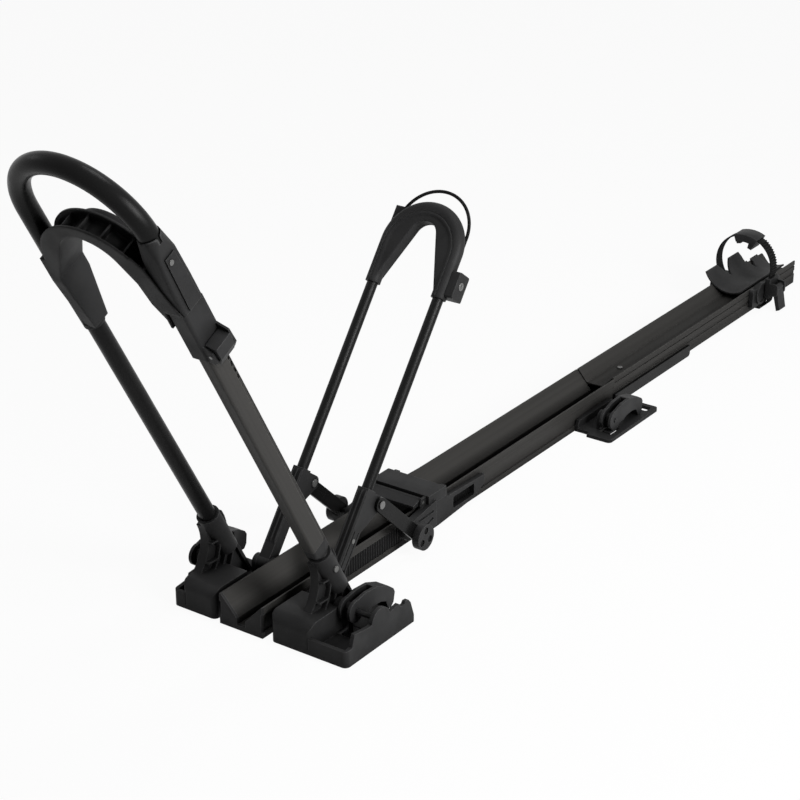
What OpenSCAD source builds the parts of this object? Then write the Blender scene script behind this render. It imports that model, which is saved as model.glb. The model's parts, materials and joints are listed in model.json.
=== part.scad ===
// Roof mounted bike carrier. Origin: under the base, on the rail's centreline, over the front crossbar.
// +X points to the front hoop, +Y to the side with the wide clamp tray, +Z up. Millimetres.

/* [Rail] */
// Width of the rail across its sides
rail_w = 76; // [72:1:80]
// Height of the rail
rail_h = 47.5; // [45:0.5:50]
// Wall of the rail and the tray
rail_wall = 2.5; // [2:0.1:3]
// Length of the front rail
front_rail_len = 950; // [930:5:1100]
// Length of the rear tray
rear_tray_len = 690; // [600:5:800]
// Thickness of the plate of the rail's end cap
cap_plate = 5; // [3:0.5:8]
// Half width of the groove at the bottom of the V
groove_half = 7.5; // [6:0.5:9]
// Height where the V meets the groove
groove_top = 17; // [14:1:20]
// Height of the groove's floor
groove_floor = 7; // [6:0.5:9]
// Depth of the recess in the rail's sides
side_recess = 2.5; // [2:0.1:3]
// Lower edge of that recess
recess_lo = 9; // [7:0.5:12]
// Upper edge of that recess
recess_hi = 36; // [33:0.5:38]
// Pitch of the rack's teeth
tooth_pitch = 6; // [4:0.5:8]
// Length of each rack
rack_len = 384; // [320:6:420]
// Distance from the rail's front end to the rack
rack_start = 165; // [155:1:180]

/* [Tray] */
// Width of the rear tray
tray_w = 72; // [68:1:74]
// Height of the tray's rims over the rail's underside
tray_top = 49; // [46:1:54]
// Height of the tray's floor over the rail's underside
tray_floor = 29; // [25:1:32]
// Width of the tray's flat floor
tray_floor_w = 32; // [28:1:36]
// Clear height under the tray
tray_lift = 4.5; // [4:0.1:6]
// Depth of the grooves along the tray's sides
tray_groove = 1.2; // [0.8:0.1:1.4]
// Length of the joiner under the tray
joiner_len = 266; // [200:2:320]
// Length of the joiner's tongues inside the rail
tongue_len = 90; // [60:2:120]

/* [Base] */
// Depth of the base along the rail
base_depth = 160; // [150:1:175]
// Height of the rubber pads under the base
pad_proud = 0.4; // [0.3:0.1:1]
// Thickness of the feet's floor
floor_t = 7; // [6:0.5:9]
// Gap between the rail and the near block
near_gap = 12; // [11:0.5:14]
// Gap between the rail and the far block
far_gap = 10; // [9:0.5:13]
// Width of the near block
near_block_w = 69; // [66:1:72]
// Width of the far block
far_block_w = 60; // [58:1:62]
// Outer face of the near wall
near_wall_y = 180; // [174:1:186]
// Outer face of the far wall
far_wall_y = 125; // [122:1:128]
// Thickness of the outer walls
wall_t = 6; // [5:0.5:8]
// Height of the blocks
block_h = 46; // [42:1:50]
// Depth of the blocks along the rail
block_len = 72; // [66:1:76]
// Radius of the blocks' upper front edge
block_round = 16; // [12:1:20]
// Height of the low front walls
front_wall_h = 25; // [20:1:30]

/* [Front hoop] */
// Half distance between the legs' centrelines
leg_half = 98; // [96:0.5:100]
// Lean of the front hoop from the vertical
front_lean = 29.3; // [26:0.1:32]
// Place of the sockets' mouths along the rail
socket_x = 24; // [20:1:28]
// Height of the sockets' mouths
socket_z = 124; // [118:1:130]
// Depth of the sockets
socket_depth = 60; // [50:1:64]
// Wall of the sockets
socket_wall = 4.4; // [4:0.1:5]
// Diameter of the far leg
leg_d = 25; // [23:0.5:26]
// Wall of the far leg
leg_wall = 2; // [1.5:0.1:2.5]
// Length of the far leg above its socket
far_leg_len = 470; // [450:1:490]
// Width of the near leg across the rail
near_leg_w = 21; // [20:0.5:22]
// Depth of the near leg along the rail
near_leg_d = 32; // [30:0.5:34]
// Wall of the near leg
near_leg_wall = 2.5; // [2:0.1:3]
// Top of the near leg above the socket
near_leg_len = 500; // [490:1:504]
// Height of the near leg's end cap
leg_cap_h = 30; // [24:1:36]
// Diameter of the hand loop's tube
loop_d = 28; // [27.5:0.1:30]
// Height of the loop's bend centre above the sockets
loop_centre = 626; // [620:1:640]
// Lower end of the loop's far leg
loop_foot = 515; // [505:1:525]
// Height of the centre of the saddle's rims above the sockets
saddle_centre = 550; // [545:1:555]
// Radius of the saddle's rims
rim_r = 90; // [87:0.5:91]
// Height of the saddle's crown above the sockets
saddle_crown = 623; // [618:1:628]
// Radius of the saddle's inner crown
arch_r = 52; // [46:1:56]
// Slope of the saddle's flanks
flare = 63; // [60:0.5:66]
// Skin of the saddle
saddle_skin = 3; // [2.5:0.1:4]
// Reach of the saddle to the front of the legs' plane
saddle_front = 22; // [20:0.5:24]
// Reach of the saddle behind the legs' plane
saddle_back = 25; // [22:0.5:28]
// Lower end of the saddle's far sleeve
sleeve_foot = 420; // [412:1:430]
// Lower end of the ratchet housing
housing_foot = 436; // [432:1:440]
// Height where the housing meets the collar
collar_foot = 518; // [515:1:522]
// Wall of the ratchet housing
housing_wall = 4; // [3.5:0.1:5]

/* [Rear hoop] */
// Lean of the rear hoop from the vertical
rear_lean = 37; // [34:0.1:40]
// Hinge's distance behind the base's middle
hinge_back = 49; // [46:1:54]
// Height of the hinge
hinge_z = 31; // [29:0.5:34]
// Diameter of the rear hoop's tube
rear_tube_d = 16.5; // [15:0.5:16.5]
// Wall of the rear hoop's tube
rear_tube_wall = 1.8; // [1.2:0.1:2.5]
// Half distance between the tube's legs
rear_half = 58; // [57.5:0.1:60]
// Height of the tube's bend centre above the hinge
rear_centre = 500; // [480:1:520]
// Radius of the shells' round section
shell_r = 11.5; // [10.5:0.5:12]
// Rise of the shells' crown over the tube
crown_rise = 6; // [4:0.5:8]
// Height of the inner shell's opening above the hinge
opening_top = 544; // [540:1:546]
// Radius of that opening's crown
opening_r = 22; // [18:0.5:26]
// Half depth of the inner shell's web
web_half_d = 9.5; // [8:0.5:10]
// Length of the shells' sleeves
sleeve_len = 62; // [56:1:68]
// Width of the leg brackets
bracket_w = 18.6; // [18.2:0.1:19.4]
// Depth of the leg brackets
bracket_d = 20; // [19:0.5:24]
// Height of the leg brackets above the hinge
bracket_h = 147; // [146:1:156]
// Height of the strut pin above the hinge, along the leg
lug_along = 134; // [130:1:138]
// Distance of the strut pin behind the leg
lug_behind = 29; // [26:0.5:33]
// Radius of the bracket's lug
lug_r = 11; // [9:0.5:12]
// Diameter of the lock cable
cable_d = 5; // [4:0.1:6]
// Rise of the cable's bend over the arch's centre
cable_rise = 37; // [35:1:38]
// Drop of the lock's foot under the arch's centre
lock_drop = 57; // [56:1:59]

/* [Slider and struts] */
// Distance of the slider pin behind the base's middle
slider_pin_back = 247; // [240:1:254]
// Width of the struts
strut_w = 22; // [18:0.5:24]
// Thickness of the struts
strut_t = 4.4; // [4:0.1:5]
// Diameter of the knobs
knob_d = 40; // [36:0.5:42]
// Thickness of the knobs
knob_t = 12; // [10:0.5:14]
// Length of the slider's top plate along the rail
top_plate_len = 44; // [40:1:48]
// Length of the slider's side walls
side_wall_len = 150; // [140:1:160]
// Thickness of the slider's side walls
side_wall_t = 8.6; // [8.2:0.1:10]
// Height of the slider's top face
slider_top = 67; // [65:0.5:70]

/* [Clamps] */
// Middle of the front levers across the rail
lever_y = 131.5; // [130.5:0.1:133]
// Width of the cam levers
lever_w = 21; // [20:0.2:22]
// Thickness of the levers' plates
lever_plate = 5; // [4:0.1:5.4]
// Height of the front levers' pivots
lever_z = 42; // [40:0.5:45]
// Radius of the levers' cam discs
cam_r = 16.5; // [15:0.5:17]
// Radius of the clamp pins
clamp_pin_r = 4; // [3.5:0.1:4.5]
// Drop of the clamp bolts when a lever opens
bolt_drop = 3; // [2:0.5:3]
// Place of the rear lever's pivot behind the base's middle
rear_lever_back = 774; // [765:1:780]
// Middle of the rear lever across the rail
rear_lever_y = 89; // [88:0.5:90]
// Height of the rear lever's pivot
rear_lever_z = 26; // [26:0.5:28]
// Length of the rear clamp's plate
rear_plate_len = 162; // [152:1:170]
// Outer edge of the rear clamp's plate
rear_plate_y = 111; // [108:1:114]

/* [Wheel strap] */
// Middle of the strap carriage behind the base's middle
carriage_back = 1430; // [1400:1:1450]
// Length of the strap carriage
carriage_len = 110; // [100:1:120]
// Radius of the wheel cradle's inner face
cradle_r = 52; // [48:0.5:54]
// Length of the cradle's high part
cradle_len = 134; // [126:1:140]
// Length of the cradle's low tail
tail_len = 50; // [40:1:60]
// Thickness of the wheel cradle
cradle_t = 3; // [2.5:0.1:3.5]
// Radius of the strap's loop
strap_r = 55; // [54.5:0.5:56]
// Width of the strap
strap_w = 22; // [18:0.5:24]
// Thickness of the strap
strap_t = 3; // [2.5:0.1:3.5]

/* [Fits] */
// Gap round a fixed pin or plug
fix_gap = 0.05; // [0.03:0.01:0.1]
// Gap round a turning pin
run_gap = 0.06; // [0.04:0.01:0.1]
// Gap beside sliding faces
slide_gap = 0.3; // [0.25:0.05:0.4]

/* [Hidden] */
$fn = 64;
eps = 0.01;

// Rail and base
rail_half = rail_w / 2;
rail_z = pad_proud;
base_front = base_depth / 2;
rail_front = base_front - cap_plate;
rail_back = rail_front - front_rail_len;
tray_back = rail_back - rear_tray_len;
tray_half = tray_w / 2;
foot_front = base_front - 2.5;
block_back = foot_front - block_len;
floor_top = pad_proud + floor_t;
near_block_in = rail_half + near_gap;
near_block_out = near_block_in + near_block_w;
far_block_in = rail_half + far_gap;
far_block_out = far_block_in + far_block_w;
foot_inner = rail_half + 0.2;
wall_end_x = 30;
far_lever_y = lever_y + 4;
far_floor_y = far_lever_y + lever_w / 2 + 1;
corner_r = 8;
pad_x = 30;
pad_sink = 3;
bolt_slot_l = 30;
bolt_slot_w = 22;

// Front hoop
leg_r = leg_d / 2;
socket_r = leg_r + fix_gap + socket_wall;
flange_t = 5;
flange_half = socket_r - 3;
web_half = 2;
rib_t = 2.5;
loop_r = loop_d / 2;
loop_bore = leg_r + 0.25;
arch_centre = saddle_crown - arch_r;
cavity_w = near_leg_w + 2 * slide_gap;
cavity_d = near_leg_d + 2 * slide_gap;
housing_w = cavity_w + 2 * housing_wall;
housing_d = cavity_d + 2 * housing_wall;
housing_in = leg_half - housing_w / 2;
housing_out = leg_half + housing_w / 2;
release_y = housing_out + 5;
release_l = housing_foot + 9;
release_pin_r = 2.5;
cheek_front = housing_d / 2;
cheek_back = -18;
tab_front = cheek_front - 3.6;
tab_back = cheek_back + 3.3;
cover_t = 2;
collar_top_r = housing_w / 2;
collar_grip = 24;
collar_top = loop_centre + 12;
arm_face = housing_in - 3.2;

// Rear hoop and linkage
hinge_x = -hinge_back;
rear_r = rear_tube_d / 2;
hinge_pin_r = 5;
hinge_lug_r = 12;
foot_flange_t = 1.4;
hinge_lug_in = foot_inner + foot_flange_t;
lug_gap = 0.5;
bracket_in = rear_half - bracket_w / 2;
bracket_out = rear_half + bracket_w / 2;
hinge_lug_out = bracket_out + 8;
bracket_half = bracket_d / 2;
bracket_eye = bracket_half + 2;
tube_foot = 44;
strut_in = bracket_out + 0.8;
strut_out = strut_in + strut_t;
strut_pin_r = 4;
lug_x = hinge_x - lug_along * sin(rear_lean) - lug_behind * cos(rear_lean);
lug_z = hinge_z + lug_along * cos(rear_lean) - lug_behind * sin(rear_lean);
slider_pin_x = -slider_pin_back;
strut_dx = slider_pin_x - lug_x;
strut_dz = hinge_z - lug_z;
strut_len = sqrt(strut_dx * strut_dx + strut_dz * strut_dz);
strut_angle = atan2(strut_dz, strut_dx);
knob_in = strut_out + 0.6;
cable_r = cable_d / 2;
cable_off = -shell_r - cable_r - 0.4;
cable_bend = rear_half + 3;
cable_centre = rear_centre + cable_rise;
lock_foot = rear_centre - lock_drop;
lock_h = 40;
lock_out = rear_half + 24;

// Slider
arm_out = strut_in - 12;
arm_in = rail_half + 6;
slider_in = rail_half + 0.4;
slider_wall_out = slider_in + side_wall_t;
side_front = slider_pin_x - 63;
plate_front = slider_pin_x - 53;
lip_x = slider_pin_x - 47;
lip_z = slider_top - 9;
lip_pin_r = 2.5;
pawl_x = side_front - 46;
pawl_len = 10;
pawl_lo = rail_z + recess_lo + 8;
pawl_hi = pawl_lo + 12;
rack_front = rail_front - rack_start;
rack_tip = rail_half - 0.1;

// Clamps
lever_x = 2;
lug_face = near_block_out - 1;
far_lug_face = far_lever_y - lever_w / 2 - 2.5;
rear_lever_x = -rear_lever_back;
rear_plate_front = rear_lever_x + 36;
rear_plate_back = rear_plate_front - rear_plate_len;
rear_lug_out = rear_lever_y - lever_w / 2 - 1;

// Wheel strap
carriage_x = -carriage_back;
tray_side = tray_half + slide_gap;
strap_y = -0.5;
strap_z = 81;
cradle_out = cradle_r + cradle_t;
cradle_z = rail_z + tray_top + slide_gap + sqrt(pow(cradle_out, 2) - pow(tray_half - rail_wall, 2));

soft_black = [0.09, 0.09, 0.095];
rail_black = [0.13, 0.125, 0.12];
tube_black = [0.11, 0.11, 0.112];
rubber_black = [0.06, 0.06, 0.06];
bright_steel = [0.75, 0.75, 0.74];

function backward(p) = [for (i = [len(p) - 1:-1:0]) p[i]];
function mirrored(p) = [for (q = p) [-q[0], q[1]]];
// Points of a tube wound round the Z axis: rings of sides points along turns of the coil
function coil_points(r, wire, turns, pitch, rings, sides) = [
    for (i = [0:turns * rings]) for (j = [0:sides - 1])
        let (a = 360 * i / rings, b = 360 * j / sides, q = r + wire * cos(b))
        [q * cos(a), q * sin(a), pitch * i / rings + wire * sin(b)]];
function coil_faces(n, sides) = concat(
    [for (i = [0:n - 2]) for (j = [0:sides - 1])
        let (k = (j + 1) % sides) [i * sides + j, (i + 1) * sides + j, (i + 1) * sides + k]],
    [for (i = [0:n - 2]) for (j = [0:sides - 1])
        let (k = (j + 1) % sides) [i * sides + j, (i + 1) * sides + k, i * sides + k]],
    [[for (j = [0:sides - 1]) j]],
    [[for (j = [sides - 1:-1:0]) (n - 1) * sides + j]]);

// A profile in X and Z carried across from y0 to y1
module across(y0, y1) {
    translate([0, y1, 0]) rotate([90, 0, 0]) linear_extrude(y1 - y0) children();
}
// A profile in Y and Z carried along the rail from x0 to x1
module along(x0, x1) {
    translate([x0, 0, 0]) rotate([90, 0, 90]) linear_extrude(x1 - x0) children();
}
module box(x0, x1, y0, y1, z0, z1) {
    translate([x0, y0, z0]) cube([x1 - x0, y1 - y0, z1 - z0]);
}
// A round bar across the rail at a point of the side view
module bar_across(x, z, r, y0, y1) {
    translate([x, y1, z]) rotate([90, 0, 0]) cylinder(h = y1 - y0, r = r);
}
module round_rect(x0, y0, x1, y1, r) {
    translate([x0 + r, y0]) square([x1 - x0 - 2 * r, y1 - y0]);
    translate([x0, y0 + r]) square([x1 - x0, y1 - y0 - 2 * r]);
    for (x = [x0 + r, x1 - r]) for (y = [y0 + r, y1 - r]) translate([x, y]) circle(r);
}
// The leaning planes of the two hoops: Z runs up the legs from the sockets or the hinge
module front_plane() {
    translate([socket_x, 0, socket_z]) rotate([0, front_lean, 0]) children();
}
module rear_plane() {
    translate([hinge_x, 0, hinge_z]) rotate([0, -rear_lean, 0]) children();
}
module both_sides() {
    children();
    mirror([0, 1, 0]) children();
}
// A bent bar in a hoop's plane: half a ring of the given section about the height c
module half_ring(c) {
    translate([0, 0, c]) rotate([90, 0, 90]) rotate_extrude(angle = 180, $fn = 96) children();
}
module coil(r, wire, turns, pitch) {
    rings = 8;
    sides = 6;
    polyhedron(coil_points(r, wire, turns, pitch, rings, sides), coil_faces(turns * rings + 1, sides));
}

// Rail sections, from the lower outer corner to the middle
rail_slope = (rail_h - groove_top) / (rail_half - rail_wall - groove_half);
rail_drop = rail_wall * sqrt(1 + rail_slope * rail_slope);
rail_in = rail_half - side_recess - rail_wall;
rail_lip = 5;
rail_outer = [[rail_half, 0], [rail_half, recess_lo], [rail_half - side_recess, recess_lo],
    [rail_half - side_recess, recess_hi], [rail_half, recess_hi], [rail_half, rail_h],
    [rail_half - rail_wall, rail_h], [groove_half, groove_top], [groove_half, groove_floor]];
rail_inner = [[rail_in - rail_lip, 0], [rail_in - rail_lip, rail_wall], [rail_in, rail_wall],
    [rail_in, groove_top + rail_slope * (rail_in - groove_half) - rail_drop],
    [groove_half + rail_wall, groove_top + rail_slope * rail_wall - rail_drop],
    [groove_half + rail_wall, groove_floor - rail_wall]];
tray_in = tray_half - rail_wall;
tray_floor_half = tray_floor_w / 2;
tray_slope = (tray_top - tray_floor) / (tray_in - tray_floor_half);
tray_drop = rail_wall * sqrt(1 + tray_slope * tray_slope);
tray_outer = [[tray_half, tray_lift], [tray_half, 23], [tray_half - tray_groove, 23],
    [tray_half - tray_groove, 30], [tray_half, 30], [tray_half, 38], [tray_half - tray_groove, 38],
    [tray_half - tray_groove, 40.5], [tray_half, 40.5], [tray_half, tray_top], [tray_in, tray_top],
    [tray_floor_half, tray_floor]];
tray_inner = [[tray_in, tray_lift], [tray_in,
    tray_floor + tray_slope * (tray_in - tray_floor_half) - tray_drop],
    [tray_floor_half + (tray_drop - rail_wall) / tray_slope, tray_floor - rail_wall]];

module extrusion(outer, inner) {
    translate([0, rail_z]) polygon(concat(outer, backward(mirrored(outer)), mirrored(inner),
        backward(inner)));
}
module outline(outer) {
    translate([0, rail_z]) polygon(concat(outer, backward(mirrored(outer))));
}

module front_rail() {
    color(rail_black) along(rail_back, rail_front) extrusion(rail_outer, rail_inner);
}

module rail_end_cap() {
    plug = 14;
    color(soft_black) {
        along(rail_front, base_front) outline(rail_outer);
        both_sides() box(rail_front - plug, rail_front + eps, groove_half + rail_wall + 1, rail_in - 1,
            rail_z + rail_wall + 1, rail_z + groove_top - 4);
    }
}

module rack_strip() {
    teeth = floor(rack_len / tooth_pitch);
    root = rail_half - side_recess + fix_gap;
    valley = rack_tip - 1.3;
    translate([0, 0, rail_z + recess_lo + fix_gap])
        linear_extrude(recess_hi - recess_lo - 2 * fix_gap)
            polygon(concat([[rack_front, root]],
                [for (i = [0:teeth - 1]) each [[rack_front - i * tooth_pitch, rack_tip],
                    [rack_front - (i + 0.7) * tooth_pitch, valley]]],
                [[rack_front - teeth * tooth_pitch, valley], [rack_front - teeth * tooth_pitch, root]]));
}
module ratchet_racks() {
    color(soft_black) both_sides() rack_strip();
}

// Floor screw of the tray, over the joiner's boss
joint_screw_x = rail_back - 85;
joint_screw_r = 2.5;
joint_boss_r = 8;
joiner_in = tray_half + 0.2;
joiner_wall = 4.5;
joiner_top = rail_z + 20;
tongue_in = groove_half + rail_wall + 1.5;
tongue_out = rail_in - 1;

module rear_tray() {
    color(rail_black) difference() {
        along(tray_back, rail_back - 0.2) extrusion(tray_outer, tray_inner);
        translate([joint_screw_x, 0, 0]) cylinder(h = 60, r = joint_screw_r + fix_gap);
    }
}

module tray_joiner() {
    back = rail_back - joiner_len;
    floor_z = rail_z + tray_lift - slide_gap;
    color(tube_black) difference() {
        union() {
            difference() {
                across(-joiner_in - joiner_wall, joiner_in + joiner_wall) {
                    translate([back + 6, rail_z]) square([joiner_len - 6.3, joiner_top - rail_z]);
                    translate([back, rail_z + 6]) square([joiner_len - 0.3, joiner_top - rail_z - 6]);
                    translate([back + 6, rail_z + 6]) circle(6);
                }
                box(back - 1, rail_back, -joiner_in, joiner_in, floor_z, joiner_top + 1);
            }
            both_sides() box(rail_back - 60, rail_back + tongue_len, tongue_in, tongue_out,
                rail_z + rail_wall + 0.1, rail_z + groove_top - 4);
            translate([joint_screw_x, 0, floor_z - 1])
                cylinder(h = rail_z + tray_floor - rail_wall - floor_z + 0.9, r = joint_boss_r);
        }
        translate([joint_screw_x, 0, rail_z + 2]) cylinder(h = 60, r = joint_screw_r + fix_gap);
    }
}

module joiner_screws() {
    color(bright_steel) translate([joint_screw_x, 0, rail_z + tray_floor]) {
        difference() {
            cylinder(h = 2.2, r = joint_screw_r + 2);
            translate([0, 0, 1]) cylinder(h = 2, r = 1.6, $fn = 6);
        }
        translate([0, 0, -20]) cylinder(h = 20 + eps, r = joint_screw_r);
    }
}

module tray_end_cap() {
    plug = 14;
    color(soft_black) {
        along(tray_back - 4, tray_back) outline(tray_outer);
        box(tray_back - eps, tray_back + plug, 1 - tray_in, tray_in - 1,
            rail_z + tray_lift + 1, rail_z + tray_floor - rail_wall - 1);
    }
}

// Gusset: side view between the curved front flange and the rear flange that follows the leg's lean
lean_s = sin(front_lean);
lean_c = cos(front_lean);
gusset_top = [socket_x + socket_r * lean_c, socket_z - socket_r * lean_s];
gusset_rear = [socket_x - socket_r * lean_c, socket_z + socket_r * lean_s];
gusset_toe = [foot_front - 9.5, pad_proud + 35];
gusset_heel_x = gusset_rear[0] - (gusset_rear[1] - floor_top) * lean_s / lean_c;
toe_dx = gusset_toe[0] - gusset_top[0];
toe_dz = gusset_toe[1] - gusset_top[1];
flange_r = (toe_dx * toe_dx + toe_dz * toe_dz) / (2 * (toe_dx * lean_c - toe_dz * lean_s));
flange_c = [gusset_top[0] + flange_r * lean_c, gusset_top[1] - flange_r * lean_s];

module gusset_face() {
    difference() {
        polygon([gusset_top, gusset_toe, [gusset_toe[0], floor_top - 1], [gusset_heel_x, floor_top - 1],
            gusset_rear]);
        translate(flange_c) circle(flange_r);
    }
}
module flange_ring(r, t) {
    intersection() {
        gusset_face();
        translate(flange_c) difference() {
            circle(r + t);
            circle(r);
        }
    }
}
socket_rise = 8;
module gusset(side) {
    translate([0, leg_half, 0]) scale([1, side, 1]) {
        across(-web_half, web_half) gusset_face();
        across(1.5 - flange_half, web_half) flange_ring(flange_r, flange_t);
        across(-8, 8) intersection() {
            gusset_face();
            translate(gusset_rear) rotate(-front_lean) translate([2.5, -200]) square([flange_t, 204]);
        }
        across(0, flange_half - 4) {
            flange_ring(flange_r + 16, rib_t);
            flange_ring(flange_r + 32, rib_t);
            flange_ring(flange_r + 48, rib_t);
            intersection() {
                flange_ring(flange_r, 17);
                for (z = [socket_z * 0.47, socket_z * 0.7]) translate([-100, z]) square([300, rib_t]);
            }
        }
    }
    front_plane() translate([0, leg_half, -socket_depth - 8]) cylinder(h = socket_depth + 8 + socket_rise,
        r = socket_r);
}
module socket_bore() {
    front_plane() translate([0, leg_half, -socket_depth])
        cylinder(h = socket_depth + 40, r = leg_r + fix_gap);
}

// Screw through each socket's outer side into the leg
socket_screw_l = -22;
socket_screw_r = 2.5;
module socket_screw_bore() {
    front_plane() bar_across(0, socket_screw_l, socket_screw_r + fix_gap, leg_half + leg_r - 4,
        leg_half + 40);
}
// Screws through the feet's inner flanges into the rail's sides
foot_flange_h = 30;
foot_screw_z = rail_z + recess_lo + 2.4;
foot_screw_x = [block_back - 12, -base_depth / 2 + 8];
foot_screw_r = 2;
module foot_screw_bores() {
    for (x = foot_screw_x) bar_across(x, foot_screw_z, foot_screw_r + fix_gap, rail_half - 3,
        foot_inner + 20);
}

module block_form(inner, outer) {
    intersection() {
        across(inner, outer) {
            translate([block_back, pad_proud]) square([block_len, block_h - block_round]);
            translate([block_back, pad_proud]) square([block_len - block_round, block_h]);
            translate([foot_front - block_round, pad_proud + block_h - block_round]) circle(block_round);
        }
        translate([0, 0, pad_proud]) linear_extrude(block_h)
            round_rect(block_back - 20, inner, foot_front, outer, corner_r);
    }
}
// Floor, flange along the rail, block, gusset and the lugs of the rear hoop's hinge
module foot_body(inner, outer, front_y, rear_y, side, clamp_y) {
    difference() {
        union() {
            translate([0, 0, pad_proud]) linear_extrude(floor_t) {
                round_rect(wall_end_x, inner, foot_front, front_y, corner_r);
                translate([block_back - 1, inner]) square([30, outer - inner]);
                translate([-base_depth / 2, foot_inner])
                    square([base_depth / 2 + block_back, rear_y - foot_inner]);
                translate([block_back - 1, inner]) square([wall_end_x - block_back + 1 + corner_r,
                    rear_y - inner]);
            }
            box(-base_depth / 2, block_back, foot_inner, foot_inner + foot_flange_t,
                pad_proud, pad_proud + foot_flange_h);
            block_form(inner, outer);
            gusset(side);
            hinge_lug(hinge_lug_in, bracket_in - lug_gap);
            hinge_lug(bracket_out + lug_gap, hinge_lug_out);
        }
        socket_bore();
        socket_screw_bore();
        foot_screw_bores();
        bar_across(hinge_x, hinge_z, hinge_pin_r + fix_gap, 0, hinge_lug_out + 1);
        translate([lever_x, clamp_y, 0]) cube([bolt_slot_l, bolt_slot_w, 60], center = true);
        pad_cuts(outer, rear_y, fix_gap);
    }
}
module hinge_lug(y0, y1) {
    across(y0, y1) {
        translate([hinge_x, hinge_z]) circle(hinge_lug_r);
        translate([hinge_x - hinge_lug_r, floor_top - 1])
            square([2 * hinge_lug_r, hinge_z - floor_top + 1]);
    }
}
module pad_cuts(outer, rear_y, gap) {
    box(-pad_x - gap, pad_x + gap, near_block_in + 4 - gap, outer - 2 + gap, -eps,
        pad_proud + pad_sink + gap);
}
// Upright lug that carries the inner end of a clamp pin
module clamp_lug(y0, y1) {
    across(y0, y1) {
        translate([lever_x, lever_z]) circle(cam_r - 4);
        translate([lever_x - cam_r + 4, floor_top - 1]) square([2 * cam_r - 8, lever_z - floor_top + 1]);
    }
}
near_wall_face = [[foot_front, pad_proud], [foot_front, front_wall_h], [64, front_wall_h + 2], [58, 45],
    [29, 41],
    [lever_x, lever_z - 2], [-23, 42], [-44, 45], [-49, 38], [-57, 38], [-60, 42], [-67, 41], [-72, 35],
    [-base_depth / 2, 12], [-base_depth / 2, pad_proud]];
far_wall_face = [[foot_front, pad_proud], [foot_front, front_wall_h], [46, front_wall_h + 3], [44, 36],
    [wall_end_x, 37], [wall_end_x, pad_proud]];

module corner_trim(y) {
    translate([0, 0, pad_proud]) linear_extrude(90) round_rect(-base_depth / 2 - 20, -20, foot_front, y,
        corner_r);
}
module near_foot() {
    color(soft_black) difference() {
        union() {
            foot_body(near_block_in, near_block_out, near_wall_y, near_wall_y, 1, lever_y);
            intersection() {
                corner_trim(near_wall_y);
                union() {
                    across(near_wall_y - wall_t, near_wall_y) {
                        polygon(near_wall_face);
                        translate([lever_x - 4, lever_z - 5]) circle(cam_r + 4.5);
                    }
                    box(foot_front - wall_t, foot_front, near_block_out - 4, near_wall_y, pad_proud,
                        front_wall_h);
                }
            }
            clamp_lug(leg_half + flange_half - 2, lug_face);
        }
        bar_across(lever_x, lever_z, clamp_pin_r + fix_gap, leg_half + 6, near_wall_y - 2);
    }
}
module far_foot() {
    color(soft_black) mirror([0, 1, 0]) difference() {
        union() {
            foot_body(far_block_in, far_block_out, far_wall_y, far_floor_y, -1, far_lever_y);
            intersection() {
                corner_trim(far_wall_y);
                union() {
                    across(far_wall_y - wall_t, far_wall_y) polygon(far_wall_face);
                    box(foot_front - wall_t, foot_front, far_block_out - 4, far_wall_y, pad_proud,
                        front_wall_h);
                }
            }
            clamp_lug(leg_half + flange_half - 4, far_lug_face);
        }
        bar_across(lever_x, lever_z, clamp_pin_r + fix_gap, leg_half + 4, far_lug_face + 1);
    }
}

module base_pads() {
    color(rubber_black) {
        box(-pad_x, pad_x, near_block_in + 4, near_block_out - 2, 0, pad_proud + pad_sink);
        mirror([0, 1, 0]) box(-pad_x, pad_x, near_block_in + 4, far_block_out - 2, 0, pad_proud + pad_sink);
        box(-pad_x + 1, pad_x - 1, -near_block_in - 5, near_block_in + 5, 0, pad_proud - 0.1);
    }
}

module base_screws() {
    color(bright_steel) both_sides() {
        front_plane() {
            bar_across(0, socket_screw_l, socket_screw_r, leg_half + leg_r - 3.5, leg_half + socket_r);
            bar_across(0, socket_screw_l, socket_screw_r + 2, leg_half + socket_r, leg_half + socket_r + 2);
        }
        for (x = foot_screw_x) {
            bar_across(x, foot_screw_z, foot_screw_r, rail_half - 2.4, foot_inner + foot_flange_t);
            bar_across(x, foot_screw_z, foot_screw_r + 1, foot_inner + foot_flange_t,
                foot_inner + foot_flange_t + 1.2);
        }
    }
}

module hoop_hinge_pins() {
    color(bright_steel) both_sides() bar_across(hinge_x, hinge_z, hinge_pin_r, hinge_lug_in,
        hinge_lug_out + 2);
}
module front_clamp_pins() {
    color(bright_steel) {
        bar_across(lever_x, lever_z, clamp_pin_r, leg_half + 6.2, near_wall_y - 2.2);
        mirror([0, 1, 0]) bar_across(lever_x, lever_z, clamp_pin_r, leg_half + 4.2, far_floor_y + 2);
    }
}

module far_leg() {
    color(tube_black) front_plane() translate([0, -leg_half, -socket_depth + 0.3]) difference() {
        cylinder(h = socket_depth + far_leg_len - 0.3, r = leg_r);
        translate([0, 0, -1]) cylinder(h = socket_depth + far_leg_len + 2, r = leg_r - leg_wall);
        bar_across(0, socket_depth - 0.3 + socket_screw_l, socket_screw_r + fix_gap, -leg_r - 1, 0);
    }
}

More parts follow.
